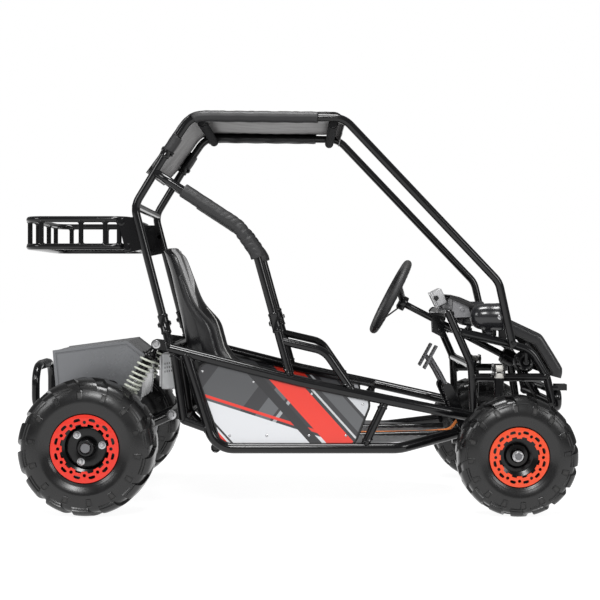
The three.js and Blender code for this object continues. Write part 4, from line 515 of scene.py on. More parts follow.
shells = []
for side in sides.values():
    y = side * nose_y
    post, top_tube, mid = (route(shares, y) for shares in (post_shares, nose_top_shares, nose_mid_shares))
    shells += [tube(post, cage_radius, cage_bend), tube(top_tube, cage_radius, cage_bend)]
    on_post, on_top = (post[2] - post[1], cage_radius), (top_tube[4] - top_tube[3], cage_radius)
    shells += joined(*mid, cage_radius, on_post, on_top)
    shells.append(tube(route(nose_inner_shares, side * inner_y), cage_radius, cage_bend))
    foot, way = top_tube[0], top_tube[1] - top_tube[0]
    shells.append(weld(foot, way, cage_radius, foot, post[1] - post[0], cage_radius))
    stand = place(bumper_stand_share, y)
    shells.append(rod(stand, [bumper_x, y, stand[2]], cage_radius * 0.7))
    for edge in (-1, 1):
        arm_pin = (axle_x + edge * arm_pivot_half, arm_pivot_y, arm_pivot_z)
        shells += ear_block(arm_pin, edge, side, inner_y - cage_radius, floor_front_z, 0.012, 0.0075, 0.006)
        shock_pin = (front_shock_x + edge * shock_eye_half, front_shock_y, front_shock_top)
        inner, low = nose_y - cage_radius / 2, mid[0][2] + cage_radius / 2
        shells += ear_block(shock_pin, edge, side, inner, low, 0.015, 0.0065, 0.005)
        pin_y = side * pedal_y + edge * (pedal_half + ear_thickness / 2 + clearance)
        shells.append(eared(np.array([pedal_x, 0, pedal_z]), place(cross_bar_shares[2], 0), pin_y, ear_half))
    stay_low, stay_high = route(stay_shares, side * inner_y)
    shells.append(slab((stay_low + stay_high) / 2, [0.024, 0.005, stay_high[2] - stay_low[2]]))
for share in cross_bar_shares:
    centre = place(share, 0)
    shells.append(cross_rod(centre, -nose_y, nose_y, cage_radius))
    for way in (-1, 1):
        end = centre + (0, way * nose_y, 0)
        shells.append(weld(end, (0, -way, 0), cage_radius, end, (0.3, 0, -1), cage_radius))
gear_start = column_foot + column_axis * clearance
gear_end = gear_start + column_axis * 0.06
gear_profile = [(0.018, 0), (0.0225, 0.0015), (0.0225, 0.006), (0.026, 0.008), (0.026, 0.042),
                (0.0225, 0.044), (0.0225, 0.054), (0.02, 0.057)]
shells.append(stacked(gear_start, column_axis, gear_profile, 28))
shells.append(rod((gear_start + gear_end) / 2, rack_centre + (0, 0, 0.0144), 0.0126))
shells.append(cross_rod(rack_centre, -0.062, 0.062, 0.018, 28))
for way in (-1, 1):
    foot = rack_centre * (1, 0, 0) + (0, way * 0.0496, floor_front_z)
    shells.append(rod(foot, foot * (1, 1, 0) + (0, 0, rack_centre[2]), 0.0108))
    shells.append(cross_rod(rack_centre, way * 0.056, way * 0.062, 0.0205, 28))
shells.append(cross_rod([rack_centre[0], 0, floor_front_z], -inner_y, inner_y, cage_radius))
shells.append(rod(gear_end, place(cross_bar_shares[4], 0), cage_radius))
bar = place(cross_bar_shares[0], 0)
below = bar - (0, 0, 0.078)
corners = [bar - (0.032, 0, 0), bar + (0.01, 0, 0), below + column_axis * 0.0107, below - column_axis * 0.032]
cheek_in, cheek_out = 0.017, 0.021
for way in (-1, 1):
    shells.append(plate(np.array(corners)[:, [0, 2]], way * cheek_in, way * cheek_out))
    for down, ahead in ((0.25, 0.004), (0.8, -0.006)):
        head = below * down + bar * (1 - down) + (ahead, way * cheek_out, 0)
        shells += bolt(head, (0, way, 0), 0.0062, 0.005)
horn_bar = place(horn_share, -nose_y)
shells.append(rod(horn_bar, place((horn_share[0], nose_top_shares[1][1]), -nose_y), cage_radius / 2))
make("nose_tubes", shells, black_coat, "nose_frame")

# Horn: a pressed steel shell with a rolled rim and a stepped diaphragm, in the frame's black coat. It is
# bolted to a short bar that hangs from the upper nose tube on the right.
horn_rim = [(0.029, -0.009), (0.034, -0.008), (0.0345, -0.004), (0.034, 0), (0.031, -0.001), (0.026, -0.004),
            (0.014, -0.003), (0.0001, -0.006)]


def turned(profile, centre, count=48, axis="y", ring=True):
    """A ring turned round an axis through a centre, from [radius, distance along the axis] pairs."""
    profile = np.asarray(profile, float)
    angle = np.arange(count) * 2 * math.pi / count
    across, up = np.cos(angle)[:, None] * profile[:, 0], np.sin(angle)[:, None] * profile[:, 0]
    along = np.broadcast_to(profile[:, 1], across.shape)
    order = {"x": (along, across, up), "y": (up, along, across), "z": (across, up, along)}[axis]
    rows = np.stack(order, axis=-1) + np.asarray(centre, float)
    return skin(rows.transpose(1, 0, 2), capped=False, ring=ring)


horn_profile = [(0.0001, -nose_y + 0.012), (0.018, -nose_y), (0.022, -nose_y + 0.001),
                *[(radius, depth - horn_y) for radius, depth in horn_rim]]
shells = [turned(horn_profile, place(horn_share, 0)), *bolt(horn_bar - (0, 0.0005, 0), (0, -1, 0), 0.006)]
make("horn", shells, black_coat)

# Front bumper: a flat loop of steel tube in the same black coat, welded to two stand-offs of the nose
# frame. A small open bracket of folded sheet stands near each end.
high, low = 0.294 * roof_height, 0.255 * roof_height
middle = [bumper_x, 0, high]
corners = [(bumper_x, y, z) for y, z in ((nose_y, high), (nose_y, low), (-nose_y, low), (-nose_y, high))]
loop = bent([middle, *corners, middle], 0.0235, 0.2)[:-1]
shells = [skin(carried(loop, circle(cage_radius, 24)), ring=True)]
reach, width, height, bracket_y, bracket_sheet = 0.0365, 0.044, 0.02, 0.2, 0.004
for side in sides.values():
    face = np.array([bumper_x + reach - bracket_sheet / 2, side * bracket_y, high + cage_radius])
    middle = face - ((reach - bracket_sheet) / 2, 0, 0)
    shells.append(slab(face, [bracket_sheet, width, height]))
    for way in (-1, 1):
        cheek = middle + (0, way * (width - bracket_sheet) / 2, 0)
        shells.append(slab(cheek, [reach - 0.001, bracket_sheet, height - 0.001]))
    shells.append(slab(middle + (0, 0, 0.008), [reach - 0.001, width - 0.002, 0.003]))
make("front_bumper_loop", shells, black_coat, "front_bumper")

# Roof cage: side bars that run from the hoop over the roof and down the windscreen line to the nose,
# with two cross bars. Bolted sleeves join it to the rear hoop, and it is coated like the frame.
shoulder_shares = [(-0.069, 0.5), (-0.109, 0.654), (-0.152, 0.719), (-0.356, 0.861)]
hoop_shares = [(-0.33, 0.896), (-0.401, 0.771), (-0.334, 0.495)]
hoop_cross_share = (-0.397, 0.771)
roof_shares = [(-0.33, 0.896), (-0.263, 1), (0.1, 0.995), (0.472, 0.578), (0.507, 0.412)]
roof_cross_shares = [(-0.24, 0.986), (0.075, 0.981)]
roof_foot_y = nose_y + 2 * cage_radius + clearance


def roof_points(side):
    """The bar's corners: level over the roof, then leaning in evenly to its foot beside the nose tube."""
    points = route(roof_shares, side * cage_y)
    points[3:, 1] = side * (cage_y + roof_foot_y) / 2, side * roof_foot_y
    return points


shells = []
for side in sides.values():
    points = roof_points(side)
    shells.append(tube(points, cage_radius, cage_bend, 24))
    shells += clamp(points[0], points[1], cage_radius, 0.04)
    shells += bolt(points[4] + (0, side * cage_radius, 0.012), (0, side, 0), 0.0065, 0.005)
for share in roof_cross_shares:
    shells.append(cross_rod(place(share, 0), -cage_y, cage_y, cage_radius))
make("roof_bars", shells, black_coat, "roof_cage")

# Rear hoop: two bent steel posts, the shoulder hoop that crosses behind the seat, and a cross bar for the
# rack, coated like the frame. Bolted sleeves hold it on the feet of the side frames.
near = route(shoulder_shares, -shoulder_y)
shoulder_path = np.concatenate([near, near[::-1] * (1, -1, 1)])
shells = [tube(shoulder_path, cage_radius, cage_bend, 24)]
for side in sides.values():
    shells.append(tube(route(hoop_shares, side * cage_y), cage_radius, cage_bend, 24))
shells.append(cross_rod(place(hoop_cross_share, 0), -cage_y, cage_y, cage_radius))
make("hoop_bars", shells, black_coat, "rear_hoop")

# Shoulder pads: sleeves of closed-cell foam in a coated woven cover, wrapped round the shoulder hoop and
# shut by a strip along their inner side. They crease where the hoop bends and at their laced ends.
pad_radius = 0.0212


def evenly(path, count):
    """The path at equal steps of its length, and how far along it each of the new points lies."""
    steps = np.concatenate([[0], np.cumsum(np.linalg.norm(np.diff(path, axis=0), axis=1))])
    along = np.linspace(0, steps[-1], count)
    return np.stack([np.interp(along, steps, path[:, axis]) for axis in range(3)], axis=-1), along


def threads(tree, results, across=900.0, along=900.0, depth=0.12, height=0.0004):
    """Plain weave on the piece's own UV map: two crossed waves, one thread over and one under."""
    flat = node(tree, "UVMap")[0]
    split = node(tree, "SeparateXYZ", Vector=flat)
    warp = maths(tree, "SINE", times(tree, split[0], across))
    weft = maths(tree, "SINE", times(tree, split[1], along))
    over = times(tree, warp, weft)
    bump = node(tree, "Bump", Strength=depth, Distance=height, Height=over, Normal=results["Normal"])
    return {"Normal": bump[0]}


def unwrapped(piece, across, along):
    """Gives a grid piece a UV map in metres, from the two flat lengths of each of its points."""
    layer = piece.data.uv_layers.new(name="cloth")
    corner = np.empty(len(piece.data.loops), int)
    piece.data.loops.foreach_get("vertex_index", corner)
    layer.data.foreach_set("uv", np.stack([across.ravel()[corner], along.ravel()[corner]], axis=-1).ravel())


pad_cover = surface("dark coated canvas", "pad_cover", (0.014, 0.014, 0.015), 0.5, dust=0.08,
                    bump=0.1, extra=threads)
for hand, side in sides.items():
    foot, low, high, corner = route(shoulder_shares, side * shoulder_y)
    start, stop = high + (corner - high) * 0.64, low + (foot - low) * 0.1
    path, along = evenly(bent([start, high, low, stop], cage_bend, 0.04), 260)
    a, s = np.meshgrid(np.arange(72) * 2 * math.pi / 72, along / along[-1])
    turn = np.exp(-((s - 0.72) / 0.2) ** 2)
    creases = np.sin(s * 95 + 2.2 * np.sin(a + 0.6) + 1.3 * np.sin(2 * a - s * 14))
    creases = np.minimum(creases, 0.35) * (0.0001 + 0.0011 * turn)
    puckers = (0.0003 + 0.0004 * turn) * np.sin(s * 37 - 1.7 * a) * np.sin(3 * a + 9 * s)
    ends = 1 - 0.1 * np.exp(-s / 0.003) - 0.1 * np.exp(-(1 - s) / 0.003)
    strip = 0.0011 * ((np.abs(a - 3.4) < 0.5) * 1.0)
    size = (pad_radius * ends + creases + puckers + strip)[..., None]
    rows = carried(path, size * np.stack([np.cos(a), np.sin(a)], axis=-1))
    pad = make(f"bar_pad_cover_{hand}", [skin(rows)], pad_cover, f"bar_pad_{hand}", crease=60)
    unwrapped(pad, a * pad_radius, s * along[-1])

# Canopy: one panel of coated polyester with a sleeve round each roof bar. It sags between them, turns down
# over the front bar and hangs over the rear bend as a flap. Its underside is a paler grey.
canopy_shares = [(0.088, 0.974), (0.086, 0.996), (-0.263, 1), (-0.33, 0.896), (-0.366, 0.85)]
canopy_sleeve_share, canopy_lift, canopy_sag, canopy_fold = 0.042, 0.0175, 0.0104, 0.0045


def soft_step(value, edge, width):
    """Rises from 0 to 1 where a value passes an edge."""
    return np.clip((value - edge) / width + 0.5, 0, 1)


def canopy_surface(rows=190, middle=121, wrap=34):
    """Across: a sleeve that goes round the bar, and a sagging middle with slack folds. Along: down over the
    front bar, over the roof, round the rear bend and out as a narrower flap. How far round the bars it
    reaches is a share of 1 along the roof and in one laced band of the flap, and small elsewhere."""
    corners = route(canopy_shares, 0)
    spine, along = evenly(bent(corners, 0.07, 0.05), rows)
    hem = np.linalg.norm(corners[1] - corners[0])
    bare = (canopy_shares[1][0] - canopy_sleeve_share) * wheelbase
    roof = np.linalg.norm(corners[2] - corners[1])
    heading = unit(np.gradient(spine, axis=0))
    up = np.stack([heading[:, 2], 0 * along, -heading[:, 0]], axis=-1)
    run = (along - hem)[:, None]
    s = run / roof
    slack = np.sin(math.pi * np.clip(s, 0, 1))
    flap = np.clip((s - 1) * roof / (along[-1] - hem - roof), 0, 1)
    sleeve = soft_step(run, bare, 0.004) * (1 - soft_step(s, 0.985, 0.012))
    sleeve = np.maximum(sleeve, soft_step(flap, 0.3, 0.03) * (1 - soft_step(flap, 0.56, 0.03)))
    t = np.linspace(-1, 1, middle)[None]
    belly = 1 - t ** 2
    folds = np.sin(7 * t + 4.5 * s) + 0.6 * np.sin(13 * t * (1 - 0.3 * s) - 7 * s + 1)
    folds = (folds + 0.35 * np.sin(29 * t + 17 * s)) * belly * np.clip(slack + 0.25 + flap, 0, 1)
    tight = 0.0008 * np.exp(-(1 - np.abs(t)) / 0.09) * np.sin(s * 62 + 3 * np.sign(t)) * (1 - 0.6 * flap)
    height = canopy_lift - canopy_sag * slack * belly - canopy_fold * (0.5 + flap) * folds + tight
    turn = (0.3 + 4.4 * sleeve) * np.linspace(0, 1, wrap)[None, 1:]
    frill = np.clip(turn - 3.6, 0, 1) * (1 + np.sin(s * 23) + 0.6 * np.sin(s * 47))
    loose = 1 + sleeve * (0.03 * np.sin(s * 40 + turn) + 0.22 * frill)
    over_y, over_h = cage_y + canopy_lift * loose * np.sin(turn), canopy_lift * loose * np.cos(turn)
    y = np.concatenate([-over_y[:, ::-1], t * cage_y + 0 * s, over_y], axis=1)
    height = np.concatenate([over_h[:, ::-1], height, over_h], axis=1)
    narrow = 1 - 0.13 * np.clip((flap - 0.62) / 0.38, 0, 1) ** 0.7
    grid = spine[:, None] + up[:, None] * height[..., None]
    grid[..., 1] = y * narrow
    widths = np.hypot(np.diff(y, axis=1), np.diff(height, axis=1))
    across = np.concatenate([np.zeros((rows, 1)), np.cumsum(widths, axis=1)], axis=1)
    return grid, across - across[:, -1:] / 2, along[:, None] + 0 * y


def two_faced(tree, results):
    """Weave, and the paler coating on the faces between the sleeves that look down."""
    across = node(tree, "SeparateXYZ", Vector=node(tree, "UVMap")[0])[0]
    between = maths(tree, "LESS_THAN", maths(tree, "ABSOLUTE", across), cage_y * 0.985)
    under = times(tree, ramp(tree, facing(tree)[2], -0.4, -0.1, 1.0, 0.0), between)
    colour = blended(tree, under, results["Colour"], (0.17, 0.165, 0.165, 1))
    return {"Colour": colour, **threads(tree, results, 1500.0, 1500.0, 0.15)}


grid, across, along = canopy_surface()
canopy_cloth = surface("coated black polyester", "canopy_cloth", (0.01, 0.01, 0.011), 0.5, dust=0.08,
                       bump=0.06, extra=two_faced)
canopy = make("canopy_sheet", [skin(grid, capped=False, open_columns=True)], canopy_cloth, "canopy",
              crease=80, flip=False)
unwrapped(canopy, across, along)
cloth = canopy.modifiers.new("cloth", "SOLIDIFY")
cloth.thickness, cloth.offset = 0.0016, -1

# Bar sleeves: strips of the canopy's polyester, sewn closed round both cross bars of the roof. They cover
# the bars from side to side.
hem_cloth = surface("black polyester hem", "canopy_cloth", (0.012, 0.012, 0.013), 0.8, dust=0.0,
                    bump=0.06, shine=0.03)
sleeve_wall, sleeve_half = 0.0021, cage_y - cage_radius
shells = [tube([place(share, -sleeve_half), place(share, sleeve_half)], cage_radius + sleeve_wall)
          for share in roof_cross_shares]
sleeves = make("canopy_bar_sleeves", shells, hem_cloth)

# Bucket seat: moulded foam on a plywood base in black leathercloth, with high bolsters, piped seams and
# pale inserts on the back. It is bolted to the four posts of the floor frame.
seat_half = 0.236
seat_back = [(0.006, 0.212), (0.004, 0.207), (-0.03, 0.207), (-0.09, 0.207), (-0.15, 0.207), (-0.213, 0.224),
             (-0.247, 0.29), (-0.272, 0.36), (-0.286, 0.42), (-0.297, 0.48), (-0.31, 0.54), (-0.323, 0.6),
             (-0.338, 0.65), (-0.343, 0.66)]
seat_middle = [(0.037, 0.236), (0.028, 0.262), (-0.03, 0.266), (-0.09, 0.257), (-0.148, 0.252),
               (-0.185, 0.268), (-0.213, 0.317), (-0.236, 0.366), (-0.252, 0.42), (-0.266, 0.478),
               (-0.281, 0.537), (-0.296, 0.597), (-0.311, 0.647), (-0.322, 0.664)]
seat_edge = [(0.037, 0.262), (0.026, 0.302), (-0.03, 0.318), (-0.09, 0.332), (-0.14, 0.346), (-0.17, 0.362),
             (-0.186, 0.379), (-0.199, 0.402), (-0.206, 0.428), (-0.22, 0.47), (-0.262, 0.523),
             (-0.288, 0.59), (-0.307, 0.642), (-0.321, 0.66)]
seat_width = [0.8, 0.92, 0.98, 1, 1, 1, 1, 1, 1, 1, 0.98, 0.95, 0.9, 0.82]


def eased(table, count):
    """A smooth curve through the rows of a table (Catmull-Rom), sampled evenly."""
    table = np.asarray(table, float).reshape(len(table), -1)
    padded = np.vstack([2 * table[0] - table[1], table, 2 * table[-1] - table[-2]])
    at = np.linspace(0, len(table) - 1 - 1e-9, count)
    first = at.astype(int)
    t = (at - first)[:, None]
    p0, p1, p2, p3 = (padded[first + step] for step in range(4))
    square, cube = 2 * p0 - 5 * p1 + 4 * p2 - p3, 3 * p1 - p0 - 3 * p2 + p3
    return 0.5 * (2 * p1 + (p2 - p0) * t + square * t ** 2 + cube * t ** 3)


def seat_surface(rows=110, front=121, rear=41):
    """Each ring runs over the cushion from side to side and returns behind it. Over the cushion the
    height rises slowly to the bolster, steeply up to its crest, and falls off round its outer side."""
    back, middle, edge = (eased(route(table, 0), rows)[:, None]
                          for table in (seat_back, seat_middle, seat_edge))
    half = eased(seat_width, rows) * seat_half
    share = np.linspace(-1, 1, front)
    size = np.abs(share)
    climb = np.clip((size - 0.6) / 0.2, 0, 1)
    rise = np.where(size < 0.6, 0.16 * (size / 0.6) ** 2, 0.16 + 0.84 * climb ** 2 * (3 - 2 * climb))
    fall = np.clip((size - 0.84) / 0.16, 0, 1)
    rise = rise - 0.42 * (1 - np.sqrt(1 - 0.999 * fall ** 2))
    point = middle + (edge - middle) * rise[None, :, None]
    inward = unit(back - middle)
    groove = 0.0045 * np.exp(-((size - 0.57) / 0.012) ** 2)
    crown = 0.006 * np.cos(math.pi / 2 * np.clip(size / 0.57, 0, 1))
    at = np.linspace(0, 1, rows)[:, None]
    channels = np.exp(-((((at * 26) % 1) - 0.5) / 0.09) ** 2) * (size < 0.55) * (at > 0.1) * (at < 0.74)
    depth = (groove - crown)[None] * np.clip(at * 9, 0, 1) + 0.0022 * channels
    point = point + inward * depth[..., None]
    point[..., 1] = share * half
    turn = np.linspace(0, math.pi, rear + 2)[1:-1]
    across, lean = np.sign(np.cos(turn)) * np.abs(np.cos(turn)) ** 0.4, 0.5 * np.abs(np.cos(turn)) ** 5
    behind = back + (edge - back) * lean[None, :, None]
    behind[..., 1] = across * half
    rings = np.concatenate([point, behind], axis=1)
    ends = [rings[end].mean(axis=0) + (rings[end] - rings[end].mean(axis=0)) * scale + bulge
            for end, scale, bulge in ((0, 0.45, (0.006, 0, 0)), (0, 0.9, (0.004, 0, 0)),
                                      (-1, 0.9, (0, 0, 0.006)), (-1, 0.45, (-0.001, 0, 0.009)))]
    return np.concatenate([ends[:2], rings, ends[2:]]), point


def leather(tree, results):
    """Pebbled leathercloth: a cell pattern in the bump, and pale inserts drawn in the seat's own places:
    on its front face, between an inner and an outer line that close in below the shoulders."""
    spot = node(tree, "TexCoord")["Object"]
    cells = node(tree, "TexVoronoi", {"feature": "DISTANCE_TO_EDGE"}, Vector=spot, Scale=520.0)[0]
    pebbles = ramp(tree, cells, 0.0, 0.25)
    bump = node(tree, "Bump", Strength=0.1, Distance=0.0004, Height=pebbles, Normal=results["Normal"])
    split = node(tree, "SeparateXYZ", Vector=spot)
    side = maths(tree, "ABSOLUTE", split[1])
    inner = ramp(tree, split[2], 0.6, 0.8, -0.03, 0.062)
    outer = ramp(tree, split[2], 0.5, 0.72, 0.0, 0.172)
    inside = times(tree, maths(tree, "GREATER_THAN", side, inner), maths(tree, "LESS_THAN", side, outer))
    front = ramp(tree, facing(tree)[0], 0.25, 0.4)
    pale = times(tree, times(tree, inside, front), maths(tree, "GREATER_THAN", split[2], 0.51))
    patches = ramp(tree, node(tree, "TexNoise", Vector=spot, Scale=14.0)[0], 0.35, 0.65)
    tone = blended(tree, patches, (0.6, 0.6, 0.61, 1), (0.78, 0.78, 0.78, 1))
    return {"Colour": blended(tree, pale, results["Colour"], tone), "Normal": bump[0]}


seat_leather = surface("black leathercloth", "seat_leather", (0.007, 0.007, 0.008), 0.3, coat=0.2, dust=0.03,
                       uneven=0.25, bump=0.02, extra=leather)
rings, front_face = seat_surface()
seat = make("seat_cushion", [skin(rings)], seat_leather, "seat", crease=70)

# Piping: a thin round welt in white leathercloth, sewn into the seam along the crest of each bolster. It
# runs from the cushion to the shoulder.
piping = surface("white piping", "seat_leather", (0.6, 0.6, 0.58), 0.4, bump=0.05)
shells = []
for column in (16, 104):
    seam = front_face[18:82, column] + (0.0006, 0, 0.0006)
    shells.append(skin(carried(seam, circle(0.0019, 8))))
make("seat_piping", shells, piping)

# Rear rack: two loops of thin tube with welded slats between them and a floor of expanded steel. Plates
# on its front corners bolt to pins on the rear hoop's posts.
rack_half, rack_loop, rack_slat = 0.28, 0.0095, 0.0076
rack_front, rack_rear = -0.42 * wheelbase + box_offset, -0.663 * wheelbase + box_offset
rack_high, rack_low = 0.739 * roof_height, 0.669 * roof_height
rack_plate_shares = [(-0.444, 0.744), (-0.391, 0.744), (-0.374, 0.663), (-0.423, 0.652)]
rack_pin_share, rack_pin_end = (-0.389, 0.71), 0.30375
plate_in, plate_out = rack_half + 0.00665, rack_half + 0.0135
shells = []
for height in (rack_high, rack_low):
    corners = [(rack_front, 0), (rack_front, rack_half), (rack_rear, rack_half), (rack_rear, -rack_half),
               (rack_front, -rack_half), (rack_front, 0)]
    loop = bent([(x, y, height) for x, y in corners], 0.05, 0.12)[:-1]
    shells.append(skin(carried(loop, circle(rack_loop, 20)), ring=True))
slats = [(place((share, 0), 0)[0], y) for share in (-0.532, -0.44) for y in (-rack_half, rack_half)]
slats += [(rack_rear, y) for y in (-0.224, -0.0933, 0.0933, 0.224)]
slats += [(x, y) for x in (rack_rear + 0.045, rack_front - 0.068) for y in (-rack_half, rack_half)]
for x, y in slats:
    low, high = np.array([x, y, rack_low]), np.array([x, y, rack_high])
    way = (0, 1, 0) if x == rack_rear else (1, 0, 0)
    shells += joined(low, high, rack_slat, (way, rack_loop), (way, rack_loop))
for side in sides.values():
    corners = route(rack_plate_shares, 0)[:, [0, 2]]
    shells.append(plate(corners, side * plate_in, side * plate_out))
    shells.append(cross_rod(place(rack_pin_share, 0), side * plate_in, side * rack_pin_end, 0.008))
    for corner in (0, 3):
        spot = corners[corner] * 0.72 + corners.mean(axis=0) * 0.28
        shells += bolt((spot[0], side * plate_out, spot[1]), (0, side, 0), 0.0078, 0.006)
pitch, strand, zig = 0.0245, 0.0011, 0.017
zigs = np.arange(round(2 * rack_half / zig)) * zig
zigs = zigs - zigs.mean()
for index in range(int((rack_front - rack_rear) / pitch) + 1):
    swing = np.where((np.arange(len(zigs)) + index) % 2, 1, -1) * (pitch / 2 - strand * 0.6)
    x = np.clip(rack_front - pitch * (index + 0.5) + swing, rack_rear + 0.004, rack_front - 0.004)
    inside = np.abs(zigs) < rack_half - 0.003
    line = np.stack([x, zigs, np.full(len(zigs), rack_low)], axis=-1)[inside]
    shells.append(skin(carried(line, np.array([(1, 1), (-1, 1), (-1, -1), (1, -1)]) * (strand, 0.0009))))
shells.append(cross_rod([rack_front, 0, rack_low], -rack_half, rack_half, rack_loop))
make("rear_rack_tubes", shells, black_coat, "rear_rack")

# Floor pan: a bare sheet of aluminium tread plate, rolled with raised lozenges that turn by turns. It lies
# on the floor tubes and is riveted down along its rear edge.
pan_edge_shares = (-0.16, 0.2, 0.372)
pan_rear_half, pan_front_half = 0.3267, 0.19
pan_low, pan_top = 0.2023, 0.2048
tread_plate = surface("aluminium tread plate", "grey_steel", (0.42, 0.42, 0.43), 0.36, metallic=1.0,
                      dust=0.4, uneven=0.3, bump=0.1)
rear_x, knee_x, front_x = np.array(pan_edge_shares) * wheelbase + box_offset
outline = np.array([(rear_x, -pan_rear_half), (knee_x, -pan_rear_half), (front_x, -pan_front_half),
                    (front_x, pan_front_half), (knee_x, pan_rear_half), (rear_x, pan_rear_half)])
inset = outline * (1, 0.998)
edge = 0.0006
levels = ((inset, pan_low), (outline, pan_low + edge), (outline, pan_top - edge), (inset, pan_top))
shells = [skin([np.insert(ring, 2, z, axis=1) for ring, z in levels])]
step = 0.0262
across, along = np.meshgrid(np.arange(-12, 13) * step, np.arange(rear_x + 0.02, front_x - 0.01, step))
turn = np.where((np.arange(across.shape[0])[:, None] + np.arange(across.shape[1])) % 2, 1, -1) * math.pi / 4
widest = np.interp(along, [knee_x, front_x], [pan_rear_half, pan_front_half]) - 0.018
inside = np.abs(across) < widest
centres = np.stack([along[inside], across[inside]], axis=-1)
lozenge = np.array([(0.0115, 0), (0.002, 0.0032), (-0.0115, 0), (-0.002, -0.0032)])
cos, sin = np.cos(turn[inside])[:, None], np.sin(turn[inside])[:, None]
levels = []
for height, size in ((0, 1.0), (0.0011, 0.55)):
    x, y = (lozenge * size).T
    laid = np.stack([x * cos - y * sin, x * sin + y * cos], axis=-1) + centres[:, None]
    level = np.full((*laid.shape[:2], 1), pan_top - 0.0001 + height)
    levels.append(np.concatenate([laid, level], axis=-1))
first = (np.arange(len(centres)) * 8)[:, None]
corner, beside = first + np.arange(4), first + (np.arange(4) + 1) % 4
walls = np.stack([corner, beside, beside + 4, corner + 4], axis=-1).reshape(-1, 4)
faces = walls.tolist() + (corner + 4).tolist() + corner[:, ::-1].tolist()
shells.append((np.concatenate(levels, axis=1).reshape(-1, 3), faces))
rivet = [(0.0001, 0), (0.0042, 0), (0.003, 0.0016), (0.0001, 0.0022)]
for y in (-0.31, -0.1, 0.1, 0.31):
    shells.append(turned(rivet, (rear_x + 0.012, y, pan_top), 12, "z", False))
make("floor_tread_plate", shells, tread_plate, "floor_pan")

# Side panels: sheet plastic with printed film on its face, held in the side frames by rivets. The print is
# a plain motorsport pattern of slanted bars.
panel_shares = [(-0.262, 0.385), (0.17, 0.29), (0.123, 0.165), (-0.19, 0.165)]
panel_prints = [
    ((1, -0.75), (-0.56, -0.395), (0.07, 0.072, 0.076)), ((1, -0.75), (-0.34, -0.285), (0.1, 0.104, 0.11)),
    ((1, -0.75), (-0.275, -0.262), (0.3, 0.31, 0.32)), ((0.32, 1), (0.0, 0.247), (0.6, 0.61, 0.63)),
    ((0.32, 1), (0.255, 0.264), (0.66, 0.03, 0.018)), ((1, 0.9), (0.225, 0.262), (0.02, 0.02, 0.022)),
    ((1, 0.9), (0.275, 0.36), (0.68, 0.034, 0.019)), ((1, 0.9), (0.373, 0.381), (0.5, 0.51, 0.52)),
    ((1, 0.9), (0.4, 0.45), (0.09, 0.093, 0.098)), ((1, 0.9), (0.462, 2.0), (0.5, 0.51, 0.53)),
    ((1, 0.9), (-0.06, -0.02), (0.68, 0.034, 0.019)), ((1, 0.9), (-0.012, -0.004), (0.02, 0.02, 0.022)),
]


def slanted(tree, results):
    """Printed bars: each is the strip where a slanted sum of the place along and up lies between two
    values, laid over the ones before it; a last strip leaves a thin dark margin."""
    spot = node(tree, "SeparateXYZ", Vector=node(tree, "TexCoord")["Object"])
    colour = results["Colour"]
    for (ahead, up), (low, high), paint in panel_prints:
        value = maths(tree, "ADD", times(tree, spot[0], ahead), times(tree, spot[2], up))
        strip = times(tree, maths(tree, "GREATER_THAN", value, low), maths(tree, "LESS_THAN", value, high))
        colour = blended(tree, strip, colour, (*paint, 1))
    return {"Colour": colour}


printed_panel = surface("printed panel film", "panel_plastic", (0.03, 0.03, 0.033), 0.2, coat=0.2, dust=0.0,
                        uneven=0.1, bump=0.02, extra=slanted)
rubber_edge = surface("black rubber edging", "dark_plastic", (0.008, 0.008, 0.008), 0.4, dust=0.0)
rivet_head = np.array([(0.0001, 0), (0.0042, 0), (0.0034, 0.0013), (0.0015, 0.0021), (0.0001, 0.0023)])
for hand, side in sides.items():
    corners = route(panel_shares, 0)
    middle = (corners[0] + corners[3]) / 2
    border = bent([middle, *corners, middle], 0.036, 0.12)[:-1] + (0, side * side_y, 0)
    film = plate(border[:, [0, 2]], side * (side_y - 0.0015), side * (side_y + 0.0015))
    edging = skin(carried(border, circle(0.0036, 10)), ring=True)
    make(f"side_panel_edging_{hand}", [edging], rubber_edge)
    make(f"side_panel_film_{hand}", [film], printed_panel, f"side_panel_{hand}")
    shells = []
    for at in (0.06, 0.34, 0.66, 0.94):
        for first, last, inset in ((0, 1, -0.031), (3, 2, 0.031)):
            spot = corners[first] * (1 - at) + corners[last] * at + (0, side * (side_y + 0.0013), inset)
            shells.append(turned(rivet_head * (1, side), spot, 14, ring=False))
    make(f"side_panel_rivets_{hand}", shells, zinc)

# Front cowl: a moulded cover of grained black plastic that steps down over the nose. Long ribs stiffen it,
# its edges turn down, and two legs stand on the cross bar.
cowl_half, cowl_edge, cowl_rib, cowl_wall = 0.178, 0.031, 0.005, 0.003
cowl_shares = [(0.368, 0.545), (0.44, 0.512), (0.516, 0.475), (0.592, 0.437), (0.622, 0.386),
               (0.645, 0.345), (0.64, 0.325)]
moulded = surface("grained black plastic", "dark_plastic", (0.012, 0.012, 0.013), 0.31, dust=0.12,
                  uneven=0.2, scale=1500.0, bump=0.25)


